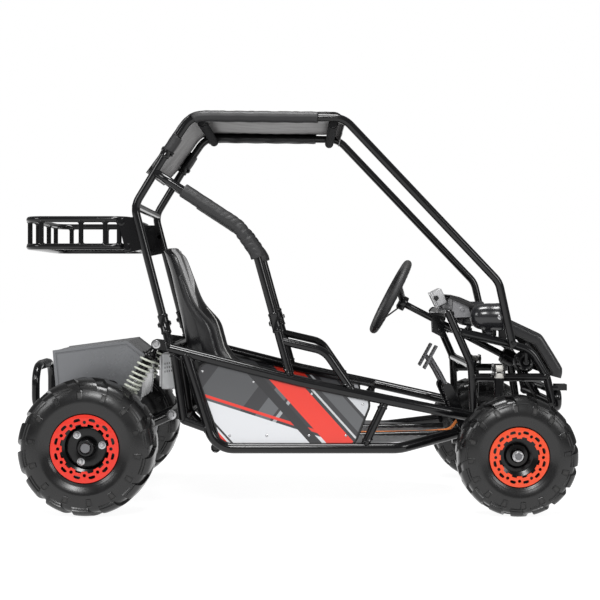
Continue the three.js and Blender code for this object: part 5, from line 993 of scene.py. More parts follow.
def cowl_surface(wall):
    """The outer face is a path down the nose with a shape across it: ribs as raised flats with sloped
    sides, and turned-down edges. The inner face is the same, a wall's thickness below it."""
    path, along = evenly(bent(route(cowl_shares, 0), 0.03, 0.1), 64)
    heading = unit(np.gradient(path, axis=0))
    up = np.stack([-heading[:, 2], np.zeros(len(path)), heading[:, 0]], axis=-1)
    across = np.array([1.003, 1.012, 1.016, 1.012, 1.0, 0.985, 0.955, 0.87, 0.85, 0.845, 0.76, 0.755, 0.735,
                       0.55, 0.53, 0.525, 0.475, 0.47, 0.45, 0.27, 0.25, 0.245, 0.155, 0.15, 0.13, 0])
    rib = [0, 0.0006, cowl_rib, cowl_rib, 0.0006, 0]
    height = np.array([-cowl_edge, -0.03, -0.018, -0.009, -0.004, -0.0012, 0, *rib * 3, 0])
    across = np.concatenate([-across, across[-2::-1]]) * cowl_half
    height = np.concatenate([height, height[-2::-1]])
    fade = np.clip(np.minimum(along / 0.03, (along[-1] - along) / 0.03), 0, 1)[:, None]
    skirt = np.interp(along / along[-1], [0, 0.3, 0.5, 1], [0.3, 0.4, 1, 1])[:, None]
    lift = np.where(height > 0, height * fade, height * skirt) - wall
    outer = np.stack([0 * across, across * (1 - wall * 4), 0 * across], axis=-1)
    return path[:, None] + up[:, None] * lift[..., None] + outer


outer, inner = cowl_surface(0), cowl_surface(cowl_wall)
shells = [skin(np.concatenate([outer, inner[:, ::-1]], axis=1))]
bar = place(cross_bar_shares[3], 0)
for side in sides.values():
    foot = bar + (0, side * 0.064, 0.0125)
    shells.append(rod(foot, foot + (0, 0, 0.0664), 0.006))
make("front_cowl_cover", shells, moulded, "cowl", crease=28)

# Dash: a plate of satin grey steel across the cabin, with a folded side plate at each end and two tabs
# on the top cross bar.
dash_half, sheet_steel = 0.168, 0.003
dash_shares = [(0.368, 0.484), (0.372, 0.538)]
dash_side_shares = [(0.368, 0.484), (0.418, 0.486), (0.412, 0.515), (0.372, 0.534)]
grey_sheet = surface("satin grey sheet", "grey_steel", (0.3, 0.3, 0.31), 0.36, metallic=0.45, dust=0.2,
                     uneven=0.25, bump=0.12)
low, high = route(dash_shares, 0)[:, [0, 2]]
face = [low, low + (sheet_steel, 0), high + (sheet_steel, 0), high]
shells = [plate(face, -dash_half, dash_half)]
bar = place(cross_bar_shares[0], 0)
for side in sides.values():
    corners = route(dash_side_shares, 0)[:, [0, 2]]
    shells.append(plate(corners, side * (dash_half - sheet_steel), side * dash_half))
    spot = corners.mean(axis=0) + (0.004, 0.001)
    shells += bolt((spot[0], side * dash_half, spot[1]), (0, side, 0), 0.0062, 0.0045)
    start, end = bar[0] + cage_radius * 0.9, low[0] + 0.001
    shells.append(slab([(start + end) / 2, side * dash_half / 2, bar[2]], [end - start, 0.024, 0.012]))
make("dash_plates", shells, grey_sheet, "dash_panel")

# Display: a die-cast case with a raised bezel, a dark window and a round button on each side. Its foot is
# clamped on the top cross bar.
display_size, display_tilt = np.array([0.026, 0.084, 0.054]), -0.45
display_centre = bar + (-0.01612, 0, 0.04536)
silver_case = surface("cast aluminium", "aluminium", (0.68, 0.68, 0.69), 0.32, metallic=0.7, dust=0.15,
                      uneven=0.25, bump=0.25)
dark_window = surface("dark display window", "dark_plastic", (0.012, 0.014, 0.016), 0.08,
                      coat=0.5, dust=0.0, bump=0.01)
turn = np.array(Euler((0, display_tilt, 0)).to_matrix())


def on_case(along, across, up):
    """A point from its place on the display's own axes."""
    return display_centre + turn @ np.array([along, across, up])


back = -display_size[0] / 2
shells = [slab(on_case(0.0095, 0, 0), display_size * (1.27, 1, 1), display_tilt, 0.0035)]
for way in (-1, 1):
    for across, up, size in ((0.037, 0, [0.006, 0.01, 0.054]), (0, 0.0225, [0.006, 0.074, 0.009])):
        shells.append(slab(on_case(back + 0.003, way * across, way * up), size, display_tilt, 0.0015))
shells.append(rod(bar + (0, 0, cage_radius * 0.9), display_centre - (0, 0, 0.018), 0.009))
shells.append(cross_rod(bar, -0.016, 0.016, cage_radius + 0.003, 28))
make("display_case", shells, silver_case, "display")
window = slab(on_case(back + 0.0035, 0, 0), [0.003, 0.066, 0.037], display_tilt, 0.0008)
make("display_window", [window], dark_window)
button_radius = 0.0085
shells = []
for across in (-0.044, 0.044):
    path = np.array([on_case(-0.002, across * share, 0.004) for share in (0.9, 1, 1.06)])
    shells.append(skin(carried(path, circle(button_radius, 20) * np.array([1, 1, 0.85])[:, None, None])))
make("display_switches", shells, moulded)

# Headlights: spun steel bullets in satin black enamel with a rolled rim and a clear lens, each on a stalk
# from the upper nose tube and held by a zinc plated screw.
lamp_radius, lamp_long, lamp_y, lamp_stalk = 0.0425, 0.107, 0.228, 0.009
lamp_share = (0.452, 0.488)
enamel = surface("satin black enamel", "black_paint", (0.012, 0.012, 0.014), 0.26, coat=0.2, dust=0.15,
                 uneven=0.2, bump=0.04)
lens_glass = surface("clear lens", "lamp_plastic", (0.45, 0.47, 0.48), 0.06, metallic=0.6,
                     coat=0.6, dust=0.0, bump=0.01)
shell_shares = [(0.002, -0.5), (0.2, -0.496), (0.36, -0.485), (0.5, -0.462), (0.62, -0.43), (0.74, -0.376),
                (0.84, -0.31), (0.91, -0.225), (0.95, -0.14), (0.975, -0.05), (0.985, 0.03), (0.985, 0.24),
                (1, 0.26), (1, 0.4), (0.985, 0.43), (0.9, 0.46), (0.84, 0.46), (0.84, 0.44), (0.84, 0.44),
                (0.8, 0.4), (0.002 / lamp_radius, 0.4)]
lens_shares = [(0.84, 0.44), (0.8, 0.452), (0.55, 0.478), (0.25, 0.49), (0.002, 0.493),
               (0.002, 0.42), (0.84, 0.42)]
lamp_size = np.array([lamp_radius, lamp_long])
foot_share = np.interp(lamp_share[0], *np.array(nose_top_shares)[:2].T)
for hand, side in sides.items():
    centre, foot = place(lamp_share, side * lamp_y), place((lamp_share[0], foot_share), side * nose_y)
    shells = [turned(shell_shares * lamp_size, centre, 64, "x", ring=False)]
    shells.append(rod(foot + (0, 0, cage_radius * 0.6), centre - (0, 0, lamp_radius * 0.8), lamp_stalk))
    collar = [toward(foot, centre, cage_radius + height) for height in (0, 0.006)]
    shells.append(rod(*collar, lamp_stalk * 1.5))
    make(f"headlight_shell_{hand}", shells, enamel, f"headlight_{hand}")
    make(f"headlight_lens_{hand}", [turned(lens_shares * lamp_size, centre, 48, "x")], lens_glass)
    head = centre + (0.033, side * lamp_radius * 1.005, 0)
    make(f"headlight_screw_{hand}", bolt(head, (0, side, 0), 0.005, 0.004), zinc)

# Controller: a cast aluminium housing with cooling fins behind. Its right face has a pale plate, rows of
# vents and four screws, and a lug fixes it to the rear tower.
controller_size = np.array([0.05, 0.13, 0.112])
controller_front = -0.311 * wheelbase + box_offset
controller_centre = np.array([controller_front - 0.025, -0.062, 0.341 * roof_height])
shells = [slab(controller_centre, controller_size, 0, 0.0025)]
fins = 7
pitch = controller_size[1] / fins
for fin in range(fins):
    spot = controller_centre + (-0.0285, pitch * (fin + 0.5) - controller_size[1] / 2, 0)
    shells.append(slab(spot, [0.0072, pitch * 0.35, 0.0963]))
shells.append(slab([controller_front + 0.004, -inner_y + 0.003, controller_centre[2]], [0.026, 0.024, 0.056]))
for x in (-0.017, 0.017):
    for z in (-0.046, 0.046):
        shells += bolt(controller_centre + (x, -0.066, z), (0, -1, 0), 0.0028, 0.0016, washer=False)
make("controller_housing", shells, silver_case, "controller_box")
pale_plate = surface("pale anodised plate", "aluminium", (0.66, 0.67, 0.68), 0.4, metallic=0.25)
face = slab([controller_centre[0], -0.1274, controller_centre[2]], [0.044, 0.0012, 0.104], 0, 0.0004)
make("controller_plate", [face], pale_plate)
shells = []
for column in range(5):
    for row in range(3):
        height = (row - 1) * 0.0125 + 0.012 + column * 0.0012
        spot = controller_centre + ((column - 2) * 0.0068, -0.0661, height)
        shells.append(slab(spot, [0.0026, 0.0012, 0.0062], 0, 0.0003))
make("controller_vents", shells, moulded)

# Swing arm: a welded fork of steel tube on a pivot tube, in the same black coat. It has carriers for the
# axle's bearings, a raised cross bar for the shocks and the motor, and flat rests for the battery box.
arm_half, arm_radius, carrier_radius, carrier_width = 0.14, 0.016, 0.033, 0.03
shock_post_y, motor_ear_y, motor_ear_foot = 0.124, 0.032, 0.045
tail_x = -0.532 * wheelbase + box_offset
rear_radius, rear_track = 0.20243, 0.39
rear_axle = np.array([box_offset - wheelbase / 2, 0, rear_radius])
shock_foot = place((-0.446, 0.252), 0)
motor_place = place((-0.413, 0.182), 0)
box_shares = [(-0.617, 0.398), (-0.432, 0.424), (-0.388, 0.388), (-0.398, 0.268), (-0.604, 0.24)]
box_foot_x = -0.59 * wheelbase + box_offset
box_corners = route(box_shares, 0)
box_foot, box_front = box_corners[4], box_corners[3]
box_tilt = -math.atan2(box_front[2] - box_foot[2], box_front[0] - box_foot[0])
box_floor = np.interp(box_foot_x, [box_foot[0], box_front[0]], [box_foot[2], box_front[2]])
ear_gap = shock_eye_half + ear_thickness / 2 + clearance
shells = [cross_rod(swing_pivot, -hub_half, hub_half, arm_radius, 28)]
shock_bar_end = shock_y - shock_eye_half - ear_thickness - clearance
shells.append(cross_rod(shock_foot, -shock_bar_end, shock_bar_end, cage_radius))
for side in sides.values():
    y, post_y = side * arm_half, side * shock_post_y
    path = np.array([swing_pivot + (0, side * (hub_half - arm_radius * 1.7), 0), rear_axle + (0.066, y, 0),
                     (tail_x, y, rear_radius)])
    shells.append(tube(path, arm_radius, rail_bend, 28))
    shells.append(weld(path[0], path[1] - path[0], arm_radius, path[0], (0, 1, 0), arm_radius))
    for low, high, size in ((-0.5, -0.32, 0.9), (-0.3, 0.3, 1), (0.32, 0.5, 0.9)):
        ends = y + low * carrier_width, y + high * carrier_width
        shells.append(cross_rod(rear_axle, *ends, carrier_radius * size, 36))
    foot = np.array([shock_foot[0], post_y, rear_radius])
    shells += joined(foot, shock_foot + (0, post_y, 0), cage_radius, (path[1] - path[0], arm_radius))
    shells.append(eared(shock_foot, shock_foot - (ear_half, 0, 0), side * (shock_y - ear_gap), ear_half))
    head = shock_foot + (0, side * (shock_y + shock_eye_half + 0.0008), 0)
    shells += bolt(head, (0, side, 0), 0.008, 0.006)
    post = np.array([box_foot_x, y, box_floor - 0.0053])
    shells.append(rod(rear_axle + (0, y, carrier_radius * 0.75), post, 0.01125))
    shells.append(slab(post, [0.048, 0.032, 0.005], box_tilt))
    shells.append(eared(shock_foot, motor_place + (0, 0, motor_ear_foot), side * motor_ear_y, ear_half))
make("swing_arm_fork", shells, black_coat, "swing_arm", "swing_arm")

# Battery box: folded steel sheet in satin grey with rolled corners, and an end plate let into each side
# and screwed there. It rests on the swing arm.
box_half = 0.165
satin_grey = surface("satin grey paint", "grey_box", (0.2, 0.205, 0.215), 0.24, metallic=0.4, dust=0.15,
                     uneven=0.25, bump=0.06)
flat_box = box_corners[:, [0, 2]]


def folded(corners, y_from, y_to, radius):
    """A closed section with its corners rolled to a small radius, drawn straight across."""
    corners = np.insert(corners, 1, 0, axis=1)
    middle = (corners[0] + corners[-1]) / 2
    outline = bent([middle, *corners, middle], radius, 0.2)[:-1]
    return plate(outline[:, [0, 2]], y_from, y_to, 0.0022)


middle = flat_box.mean(axis=0)
edges = unit(np.roll(flat_box, -1, 0) - flat_box)
inward = np.stack([-edges[:, 1], edges[:, 0]], axis=-1)
inward = inward * np.sign(((middle - flat_box) * inward).sum(1))[:, None]


def drawn_in(distance):
    """The box's outline with every side moved inwards: each corner slides to where its two sides meet."""
    before = np.roll(inward, 1, 0)
    return flat_box + distance * (before + inward) / (1 + (before * inward).sum(1))[:, None]


shells = [folded(drawn_in(0.0012), -box_half + 0.004, box_half - 0.004, 0.006)]
for side in sides.values():
    rows = []
    for inset, depth in ((0, 0.02), (0, 0.0008), (0.0008, 0), (0.009, 0), (0.0098, 0.0022), (0.0127, 0.0022),
                         (0.0135, 0.0004)):
        rows.append(np.insert(drawn_in(inset), 1, side * (box_half - depth), axis=1))
    shells.append(skin(rows))
for side in sides.values():
    for share in (0.25, 0.7):
        spot = flat_box[4] * (1 - share) + flat_box[3] * share + (0, 0.007)
        shells += bolt((spot[0], side * box_half, spot[1]), (0, side, 0), 0.0035, 0.0012, washer=False)
make("battery_box_shell", shells, satin_grey, "battery_box", "swing_arm", crease=30)

# Drive motor: a finned drum of dull metal with end bells, through bolts and a shaft for the chain. It hangs
# under the swing arm's cross bar.
dull_steel = surface("dull steel", "grey_steel", (0.2, 0.2, 0.21), 0.4, metallic=1.0, dust=0.2,
                     uneven=0.25, bump=0.1)
motor_from, motor_to, motor_shaft_end = -0.084, 0.044, 0.066
profile = [(0.0001, motor_from), (0.034, motor_from), (0.036, motor_from + 0.004),
           (0.048, motor_from + 0.007), (0.0505, motor_from + 0.012), (0.0505, motor_from + 0.03)]
for fin in range(9):
    at = motor_from + 0.032 + fin * 0.0078
    profile += [(0.0475, at), (0.0515, at + 0.0012), (0.0515, at + 0.0036), (0.0475, at + 0.0048)]
profile += [(0.0505, motor_to - 0.018), (0.0505, motor_to - 0.008), (0.047, motor_to - 0.003),
            (0.03, motor_to), (0.0085, motor_to), (0.0085, motor_shaft_end), (0.0001, motor_shaft_end)]
shells = [turned(profile, motor_place, 56, ring=False)]
for index in range(4):
    angle = math.pi / 4 + index * math.pi / 2
    spot = motor_place + (0.042 * math.cos(angle), motor_from + 0.005, 0.042 * math.sin(angle))
    shells += bolt(spot, (0, -1, 0), 0.004, 0.003, washer=False)
make("drive_motor_case", shells, dull_steel, "drive_motor", "swing_arm", crease=30)

# Rear bumper: an inverted hoop of tube on the swing arm's tails, with a corrugated sleeve of soft plastic on
# its cross bar.
hoop_points = route([(-0.56, 0.17), (-0.615, 0.2), (-0.662, 0.25), (-0.662, 0.3555)], -arm_half)
near = np.concatenate([[(tail_x - clearance, -arm_half, rear_radius)], hoop_points])
shells = [tube(np.concatenate([near, near[::-1] * (1, -1, 1)]), cage_radius, cage_bend, 24)]
make("rear_bumper_tube", shells, black_coat, "rear_bumper", "swing_arm")
ribbed_half = 0.054
rib = np.array([(0, 0), (0.0029, 0.002), (0.0029, 0.008), (0.0004, 0.0095), (0.0004, 0.0115)])
ribs = np.concatenate([*(rib + (0, 0.012 * index - ribbed_half) for index in range(9)),
                       [(0, ribbed_half), (-0.002, ribbed_half), (-0.002, -ribbed_half)]]) + (cage_radius, 0)
sleeve = turned(ribs, hoop_points[3] * (1, 0, 1), 32)
make("rear_bumper_sleeve", [sleeve], moulded, body="swing_arm", crease=50)

# Rear axle: a solid steel shaft with a drilled brake disc and a chain sprocket, both cut from sheet, each
# on a round hub. It turns in the carriers of the swing arm.
axle_radius, axle_end = 0.015, 0.462
disc_y, disc_radius, disc_half = -0.1, 0.074, 0.0025
sprocket_y, sprocket_radius, sprocket_half, sprocket_teeth = 0.072, 0.066, 0.003, 18
hub_radius, hub_width = 0.024, 0.026


def cut_sheet(outer, holes, thickness, edge=0.0005):
    """A flat sheet with holes: filled curves, given a thickness and a broken edge, as points and faces
    in the sheet's own plane."""
    curve = bpy.data.curves.new("cut sheet", "CURVE")
    curve.dimensions, curve.fill_mode = "2D", "BOTH"
    curve.extrude, curve.bevel_depth, curve.offset = thickness / 2 - edge, edge, -edge
    for outline in (outer, *holes):
        spline = curve.splines.new("POLY")
        spline.points.add(len(outline) - 1)
        spline.points.foreach_set("co", np.insert(outline, [2, 2], (0, 1), axis=1).ravel())
        spline.use_cyclic_u = True
    drawn = bpy.data.objects.new("cut sheet", curve)
    bpy.context.scene.collection.objects.link(drawn)
    mesh = bpy.data.meshes.new_from_object(drawn.evaluated_get(bpy.context.evaluated_depsgraph_get()))
    work = bmesh.new()
    work.from_mesh(mesh)
    bmesh.ops.remove_doubles(work, verts=work.verts, dist=1e-6)
    points = np.array([vert.co[:] for vert in work.verts])
    faces = [[vert.index for vert in face.verts] for face in work.faces]
    work.free()
    bpy.data.objects.remove(drawn)
    bpy.data.curves.remove(curve)
    bpy.data.meshes.remove(mesh)
    return points, faces


def arc(radius, start, end, count):
    """Points of a circle's arc in the sheet's plane, from one angle to another."""
    angle = np.linspace(start, end, count)
    return radius * np.stack([np.cos(angle), np.sin(angle)], axis=-1)


def ring_of_holes(radius, size, count, turn=0.0):
    """Round holes at equal angles on a circle."""
    angles = turn + np.arange(count) * 2 * math.pi / count
    return [circle(size, 14) + (radius * math.cos(angle), radius * math.sin(angle)) for angle in angles]


def stood(sheet, y, centre=rear_axle):
    """A flat sheet stood on edge, square to the axle."""
    points, faces = sheet
    return np.stack([points[:, 0] + centre[0], points[:, 2] + y, points[:, 1] + centre[2]], axis=-1), faces


def rounded(profile, radius=0.0012):
    """A closed profile with each corner cut to three points on a small arc."""
    profile = np.asarray(profile, float)
    back, ahead = np.roll(profile, 1, 0) - profile, np.roll(profile, -1, 0) - profile
    room = np.minimum(np.linalg.norm(back, axis=1), np.linalg.norm(ahead, axis=1))
    size = np.minimum(radius, 0.3 * room)[:, None]
    first, last = profile + unit(back) * size, profile + unit(ahead) * size
    return np.stack([first, (first + last) / 4 + profile / 2, last], axis=1).reshape(-1, 2)


shells = [cross_rod(rear_axle, -axle_end, axle_end, axle_radius, 36),
          cross_rod(rear_axle, disc_y - hub_width / 2, disc_y + hub_width / 2, hub_radius, 32)]
holes = [circle(0.0215, 36), *ring_of_holes(0.057, 0.0038, 16),
         *ring_of_holes(0.0655, 0.0032, 16, math.pi / 16)]
shells.append(stood(cut_sheet(circle(disc_radius, 72), holes, 2 * disc_half), disc_y))
make("rear_axle_shaft", shells, dull_steel, "rear_axle", "rear_axle")
teeth = np.arange(sprocket_teeth * 8) * 2 * math.pi / (sprocket_teeth * 8)
reach = sprocket_radius - 0.0025 + 0.0025 * np.clip(1.6 * np.cos(teeth * sprocket_teeth + math.pi), -1, 1)
outer = reach[:, None] * circle(1, len(teeth))
windows = [np.concatenate([arc(0.05, angle - 0.36, angle + 0.36, 9), arc(0.034, angle + 0.3, angle - 0.3, 7)])
           for angle in np.arange(5) * 2 * math.pi / 5]
shells = [stood(cut_sheet(outer, [circle(0.0225, 36), *windows], 2 * sprocket_half), sprocket_y)]
bore, half = 0.0159, hub_width / 2
profile = rounded([(bore, -half), (hub_radius, -half), (hub_radius, half), (bore, half)])
shells.append(turned(profile, rear_axle + (0, sprocket_y, 0), 36))
make("drive_sprocket_teeth", shells, dull_steel, "drive_sprocket", "rear_axle")

# Rear shock absorbers: a black damper with a threaded collar, a chromed rod and a lower seat, with rubber
# bushes in both eyes. The spring between the seats is wound closer at its foot and painted greenish white.
chrome = surface("chromed rod", "grey_steel", (0.62, 0.62, 0.63), 0.14, metallic=1.0, dust=0.05,
                 uneven=0.1, bump=0.02)
rubber_bush = surface("black rubber", "dark_plastic", (0.018, 0.018, 0.018), 0.6, dust=0.3, bump=0.15)
spring_paint = surface("greenish white paint", "white_spring", (0.68, 0.71, 0.62), 0.32, coat=0.1, dust=0.2,
                       dust_colour=(0.3, 0.29, 0.25), bump=0.08)
seat_thickness, wire, coil_mean, curls = 0.005, 0.0033, 0.0226, 9.5


def spun(start, heading, profile, count=32):
    """Circles on a straight axis, from [radius, distance along the axis] pairs."""
    profile = np.asarray(profile, float)
    path = np.asarray(start, float) + profile[:, 1:] * heading
    across = unit(np.cross(heading, (0.31, 0.87, 0.21)))
    up = np.cross(across, heading)
    flat = circle(1, count)
    spokes = flat[:, :1] * across + flat[:, 1:] * up
    return skin(path[:, None] + profile[:, 0][:, None, None] * spokes)


def eye_and_bush(centre, half, outer, axis="y"):
    """The ring of an eye and the rubber bush that stands a little proud of it."""
    section = np.array([(0, -1), (1, -1), (1, 1), (0, 1)])
    ring = rounded(section * (outer * 0.38, half * 0.86) + (outer * 0.62, 0))
    bush = rounded(section * (outer * 0.36, half) + (outer * 0.3, 0))
    return turned(ring, centre, 32, axis), turned(bush, centre, 28, axis)


top_to_foot = np.linalg.norm(shock_foot - shock_top)
shock_way = unit(shock_foot - shock_top)
at, low, end = (share * top_to_foot for share in (0.17, 0.87, 0.56))
damper_profile = [(0.0105, 0.006), (0.011, 0.02), (0.0145, 0.026), (0.015, 0.03), (0.015, at - 0.007),
                  (0.0185, at - 0.0065), (0.0185, at - 0.0015), (0.0265, at - 0.0008), (0.027, at + 0.0006),
                  (0.027, at + 0.0042), (0.0262, at + 0.005), (0.0175, at + 0.005), (0.0172, at + 0.009),
                  (0.015, at + 0.01)]
for step in at + 0.012 + np.arange(9) * 0.0025:
    damper_profile += [(0.0142, step), (0.015, step + 0.00125)]
damper_profile += [(0.015, end - 0.012), (0.0142, end - 0.011), (0.0142, end - 0.009), (0.015, end - 0.008),
                   (0.015, end - 0.001), (0.014, end), (0.0068, end)]
cup_profile = [(0.0062, low - 0.004), (0.011, low - 0.003), (0.0175, low), (0.0262, low + 0.0002),
               (0.027, low + 0.001), (0.027, low + 0.0042), (0.0262, low + 0.005), (0.013, low + 0.0055),
               (0.0115, low + 0.012), (0.0105, top_to_foot - 0.006)]
start, stop = at + seat_thickness + wire + clearance, low - wire - clearance
share = np.linspace(0, 1, int(curls * 36))
climb = start + (stop - start) * (share + 0.2 * share * (1 - share))
turn = 2 * math.pi * curls * share
sideways = np.array([0, 1, 0])
out = np.cos(turn)[:, None] * sideways + np.sin(turn)[:, None] * np.cross(shock_way, sideways)
for hand, side in sides.items():
    top, foot = shock_top + (0, side * shock_y, 0), shock_foot + (0, side * shock_y, 0)
    body, slider = f"rear_shock_body_{hand}", f"rear_shock_rod_{hand}"
    ring, bush = eye_and_bush(top, shock_eye_half, 0.013)
    damper = spun(top, shock_way, damper_profile)
    make(f"rear_damper_{hand}", [ring, damper], black_coat, body, body, crease=30)
    make(f"rear_damper_bush_{hand}", [bush], rubber_bush, body=body)
    ring, bush = eye_and_bush(foot, shock_eye_half, 0.013)
    shaft = spun(top, shock_way, [(0.006, 0.42 * top_to_foot), (0.006, low + 0.002)], 28)
    make(f"rear_damper_rod_{hand}", [shaft], chrome, slider, slider)
    cup = spun(top, shock_way, cup_profile)
    make(f"rear_spring_seat_{hand}", [ring, cup], black_coat, body=slider, crease=30)
    make(f"rear_rod_bush_{hand}", [bush], rubber_bush, body=slider)
    centres = top + climb[:, None] * shock_way + coil_mean * out
    beside = unit(np.cross(unit(np.gradient(centres, axis=0)), out))
    section = circle(wire, 12)
    rows = centres[:, None] + section[:, :1] * out[:, None] + section[:, 1:] * beside[:, None]
    spring = make(f"rear_coil_{hand}", [skin(rows)], spring_paint, f"rear_spring_{hand}", None)
    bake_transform(spring)

# Front arms: a forked arm of tube between its pivot sleeve and the kingpin sleeve, with a seat for the
# shock's foot, all welded and coated black.
kingpin = np.array([axle_x, 0.305, 0.178])
kingpin_half, kingpin_radius, arm_sleeve = 0.02, 0.015, 0.012
front_shock_foot = kingpin[2] + 0.034
for hand, side in sides.items():
    pivot = np.array([axle_x, side * arm_pivot_y, arm_pivot_z])
    king = kingpin * (1, side, 1)
    end = toward(king, pivot, kingpin_radius * 0.6)
    along = np.array([arm_pivot_half, 0, 0])
    shells = [rod(pivot - along, pivot + along, arm_sleeve, 28)]
    tall = np.array([0, 0, kingpin_half])
    shells.append(rod(king - tall, king + tall, kingpin_radius, 32))
    for edge in (-1, 1):
        start = pivot + edge * 0.8 * along
        shells.append(rod(start, end, 0.011, 24))
        shells.append(weld(start, end - start, 0.011, start, (1, 0, 0), arm_sleeve))
        shells.append(weld(end, start - end, 0.011, king, (0, 0, 1), kingpin_radius))
        shells.append(rod(pivot + edge * along * 0.93, pivot + edge * along, arm_sleeve * 1.1, 28))
    seat_x = (front_shock_x + axle_x) / 2 - 0.0085
    shells.append(slab([seat_x, side * front_shock_y, front_shock_foot - 0.02], [0.051, 0.0204, 0.008]))
    make(f"front_arm_tubes_{hand}", shells, black_coat, f"front_arm_{hand}", f"front_arm_{hand}")

# Knuckles: a forged fork on the kingpin with its spindle and steering arm, and a castle nut with a split
# pin that holds the wheel.
fork_plate, fork_gap, web_out = 0.007, 0.0005, 0.02
front_radius, front_wheel_y, front_hub_out = 0.17712, 0.4075, 0.034
fork_level = kingpin_half + fork_gap + fork_plate / 2
nut_from = front_wheel_y + front_hub_out + clearance
spindle = np.array([axle_x, 0, front_radius])
spindle_profile = [(0.014, kingpin[1] + web_out), (0.014, 0.345), (0.0102, 0.35), (0.01, 0.352),
                   (0.01, nut_from + 0.0126), (0.0088, nut_from + 0.0138)]
nut_bore, nut_size, washer_size, washer_top = 0.0101, 0.0148, 0.0165, nut_from + 0.0015
washer = [(nut_bore, nut_from), (washer_size, nut_from), (washer_size, washer_top), (nut_bore, washer_top)]
hexagons = [(nut_size, washer_top), (nut_size, nut_from + 0.008), (nut_size * 0.94, nut_from + 0.0086)]
for hand, side in sides.items():
    king = kingpin * (1, side, 1)
    shells = []
    for edge in (-1, 1):
        cheek = king + (0, side * web_out / 2, edge * fork_level)
        shells.append(slab(cheek, [0.032, 0.036, fork_plate], 0, 0.0015))
        head = king + (0, side * 0.002, edge * (fork_level + fork_plate / 2))
        shells += bolt(head, (0, 0, edge), 0.0085, 0.006)
    shells.append(slab(king + (0, side * web_out, 0), [0.032, 0.01, 2 * fork_level + fork_plate], 0, 0.0015))
    shells.append(slab(king + (0.035, 0, fork_level), [0.088, 0.018, fork_plate], 0, 0.0015))
    outward = np.array([0, side, 0])
    shells.append(spun(spindle, outward, spindle_profile, 28))
    make(f"front_knuckle_fork_{hand}", shells, dull_steel, f"knuckle_{hand}", f"knuckle_{hand}")
    shells = [turned(rounded(washer, 0.0004) * (1, side), spindle, 32)]
    shells.append(stacked(spindle, outward, hexagons, 6))
    for tooth in range(6):
        angle = tooth * math.pi / 3
        corner = spindle + (0.0118 * math.cos(angle), side * (nut_from + 0.0105), 0.0118 * math.sin(angle))
        shells.append(slab(corner, [0.0055, 0.0045, 0.0055], -angle, 0.0006))
    pin = spindle + (0, side * (nut_from + 0.0112), 0)
    shells.append(rod(pin - (0.0155, 0, 0), pin + (0.0155, 0, 0), 0.0012, 8))
    make(f"front_castle_nut_{hand}", shells, zinc, body=f"knuckle_{hand}")

# Front shock absorbers: a black cover over the spring and damper, a pale bush under its eye, and a bright
# rod that stands on the arm's seat.
pale_bush = surface("pale nylon", "dark_plastic", (0.5, 0.49, 0.46), 0.4, dust=0.2, bump=0.05)
shock_tall = front_shock_top - front_shock_foot
cover_top = 0.333 * roof_height
cover_end = front_shock_foot + shock_tall * 0.35
rod_end = front_shock_foot - 0.0147
up_way = np.array([0, 0, 1])
cover_profile = [(0.0068, cover_end), (0.0135, cover_end), (0.015, cover_end + 0.002),
                 (0.015, cover_end + 0.012), (0.0139, cover_end + 0.013), (0.0139, cover_end + 0.02),
                 (0.015, cover_end + 0.021), (0.015, cover_top - 0.004), (0.014, cover_top),
                 (0.007, cover_top + 0.0005), (0.007, front_shock_top - 0.007)]
collar = rounded([(0.0069, cover_top - 0.0002), (0.0145, cover_top - 0.0002), (0.0145, cover_top + 0.0125),
                  (0.0069, cover_top + 0.0151)])
rod_profile = [(0.0068, rod_end), (0.007, rod_end + 0.001), (0.007, front_shock_foot + shock_tall * 0.5)]
for hand, side in sides.items():
    top = np.array([front_shock_x, side * front_shock_y, front_shock_top])
    ground = top * (1, 1, 0)
    slider = f"front_shock_rod_{hand}"
    ring, bush = eye_and_bush(top, shock_eye_half, 0.0112, "x")
    cover = spun(ground, up_way, cover_profile)
    make(f"front_damper_{hand}", [cover], black_coat, f"front_shock_body_{hand}", crease=30)
    make(f"front_damper_bush_{hand}", [turned(collar, ground, 32, "z"), ring, bush], pale_bush)
    make(f"front_damper_rod_{hand}", [spun(ground, up_way, rod_profile, 28)], chrome, slider, slider)

# Steering rack and tie rods: a ground bar that slides in its housing, and a threaded rod to each knuckle
# with a ball joint, lock nuts and a rubber boot.
bar = cross_rod(rack_centre, -0.15, 0.15, 0.01, 28)
make("steering_rack_bar", [bar], chrome, "steering_rack", "steering_rack")
tie_joint_z = kingpin[2] + fork_level + fork_plate / 2 + 0.0102
eye = [(0.004, -0.006), (0.0105, -0.006), (0.011, -0.004), (0.011, 0.004), (0.0095, 0.006), (0.004, 0.006)]
cap = [(0.0001, 0.0052), (0.0046, 0.005), (0.0046, 0.0059), (0.0001, 0.006)]
boot = [(0.0041, -0.0078), (0.0052, -0.0078), (0.006, -0.0072), (0.0056, -0.0064), (0.0041, -0.0061)]
for hand, side in sides.items():
    inner = rack_centre + (0, side * 0.1521, 0)
    outer = np.array([rack_centre[0], side * kingpin[1], tie_joint_z])
    way, long = unit(outer - inner), np.linalg.norm(outer - inner)
    profile = [(0.0048, 0), (0.006, 0.0012), (0.006, 0.012), (0.0052, 0.013), (0.0052, long - 0.046),
               (0.006, long - 0.045), (0.006, long - 0.04), (0.0054, long - 0.039), (0.0054, long - 0.012),
               (0.006, long - 0.008), (0.006, long - 0.002)]
    shells = [spun(inner, way, profile, 20), turned(rounded(eye, 0.0006), outer, 32, "z"),
              turned(cap, outer, 20, "z")]
    make(f"tie_rod_link_{hand}", shells, dull_steel, f"tie_rod_{hand}", f"tie_rod_{hand}")
    collar = turned(rounded(boot, 0.0004), outer, 24, "z")
    make(f"tie_rod_boot_{hand}", [collar], rubber_bush, body=f"tie_rod_{hand}")

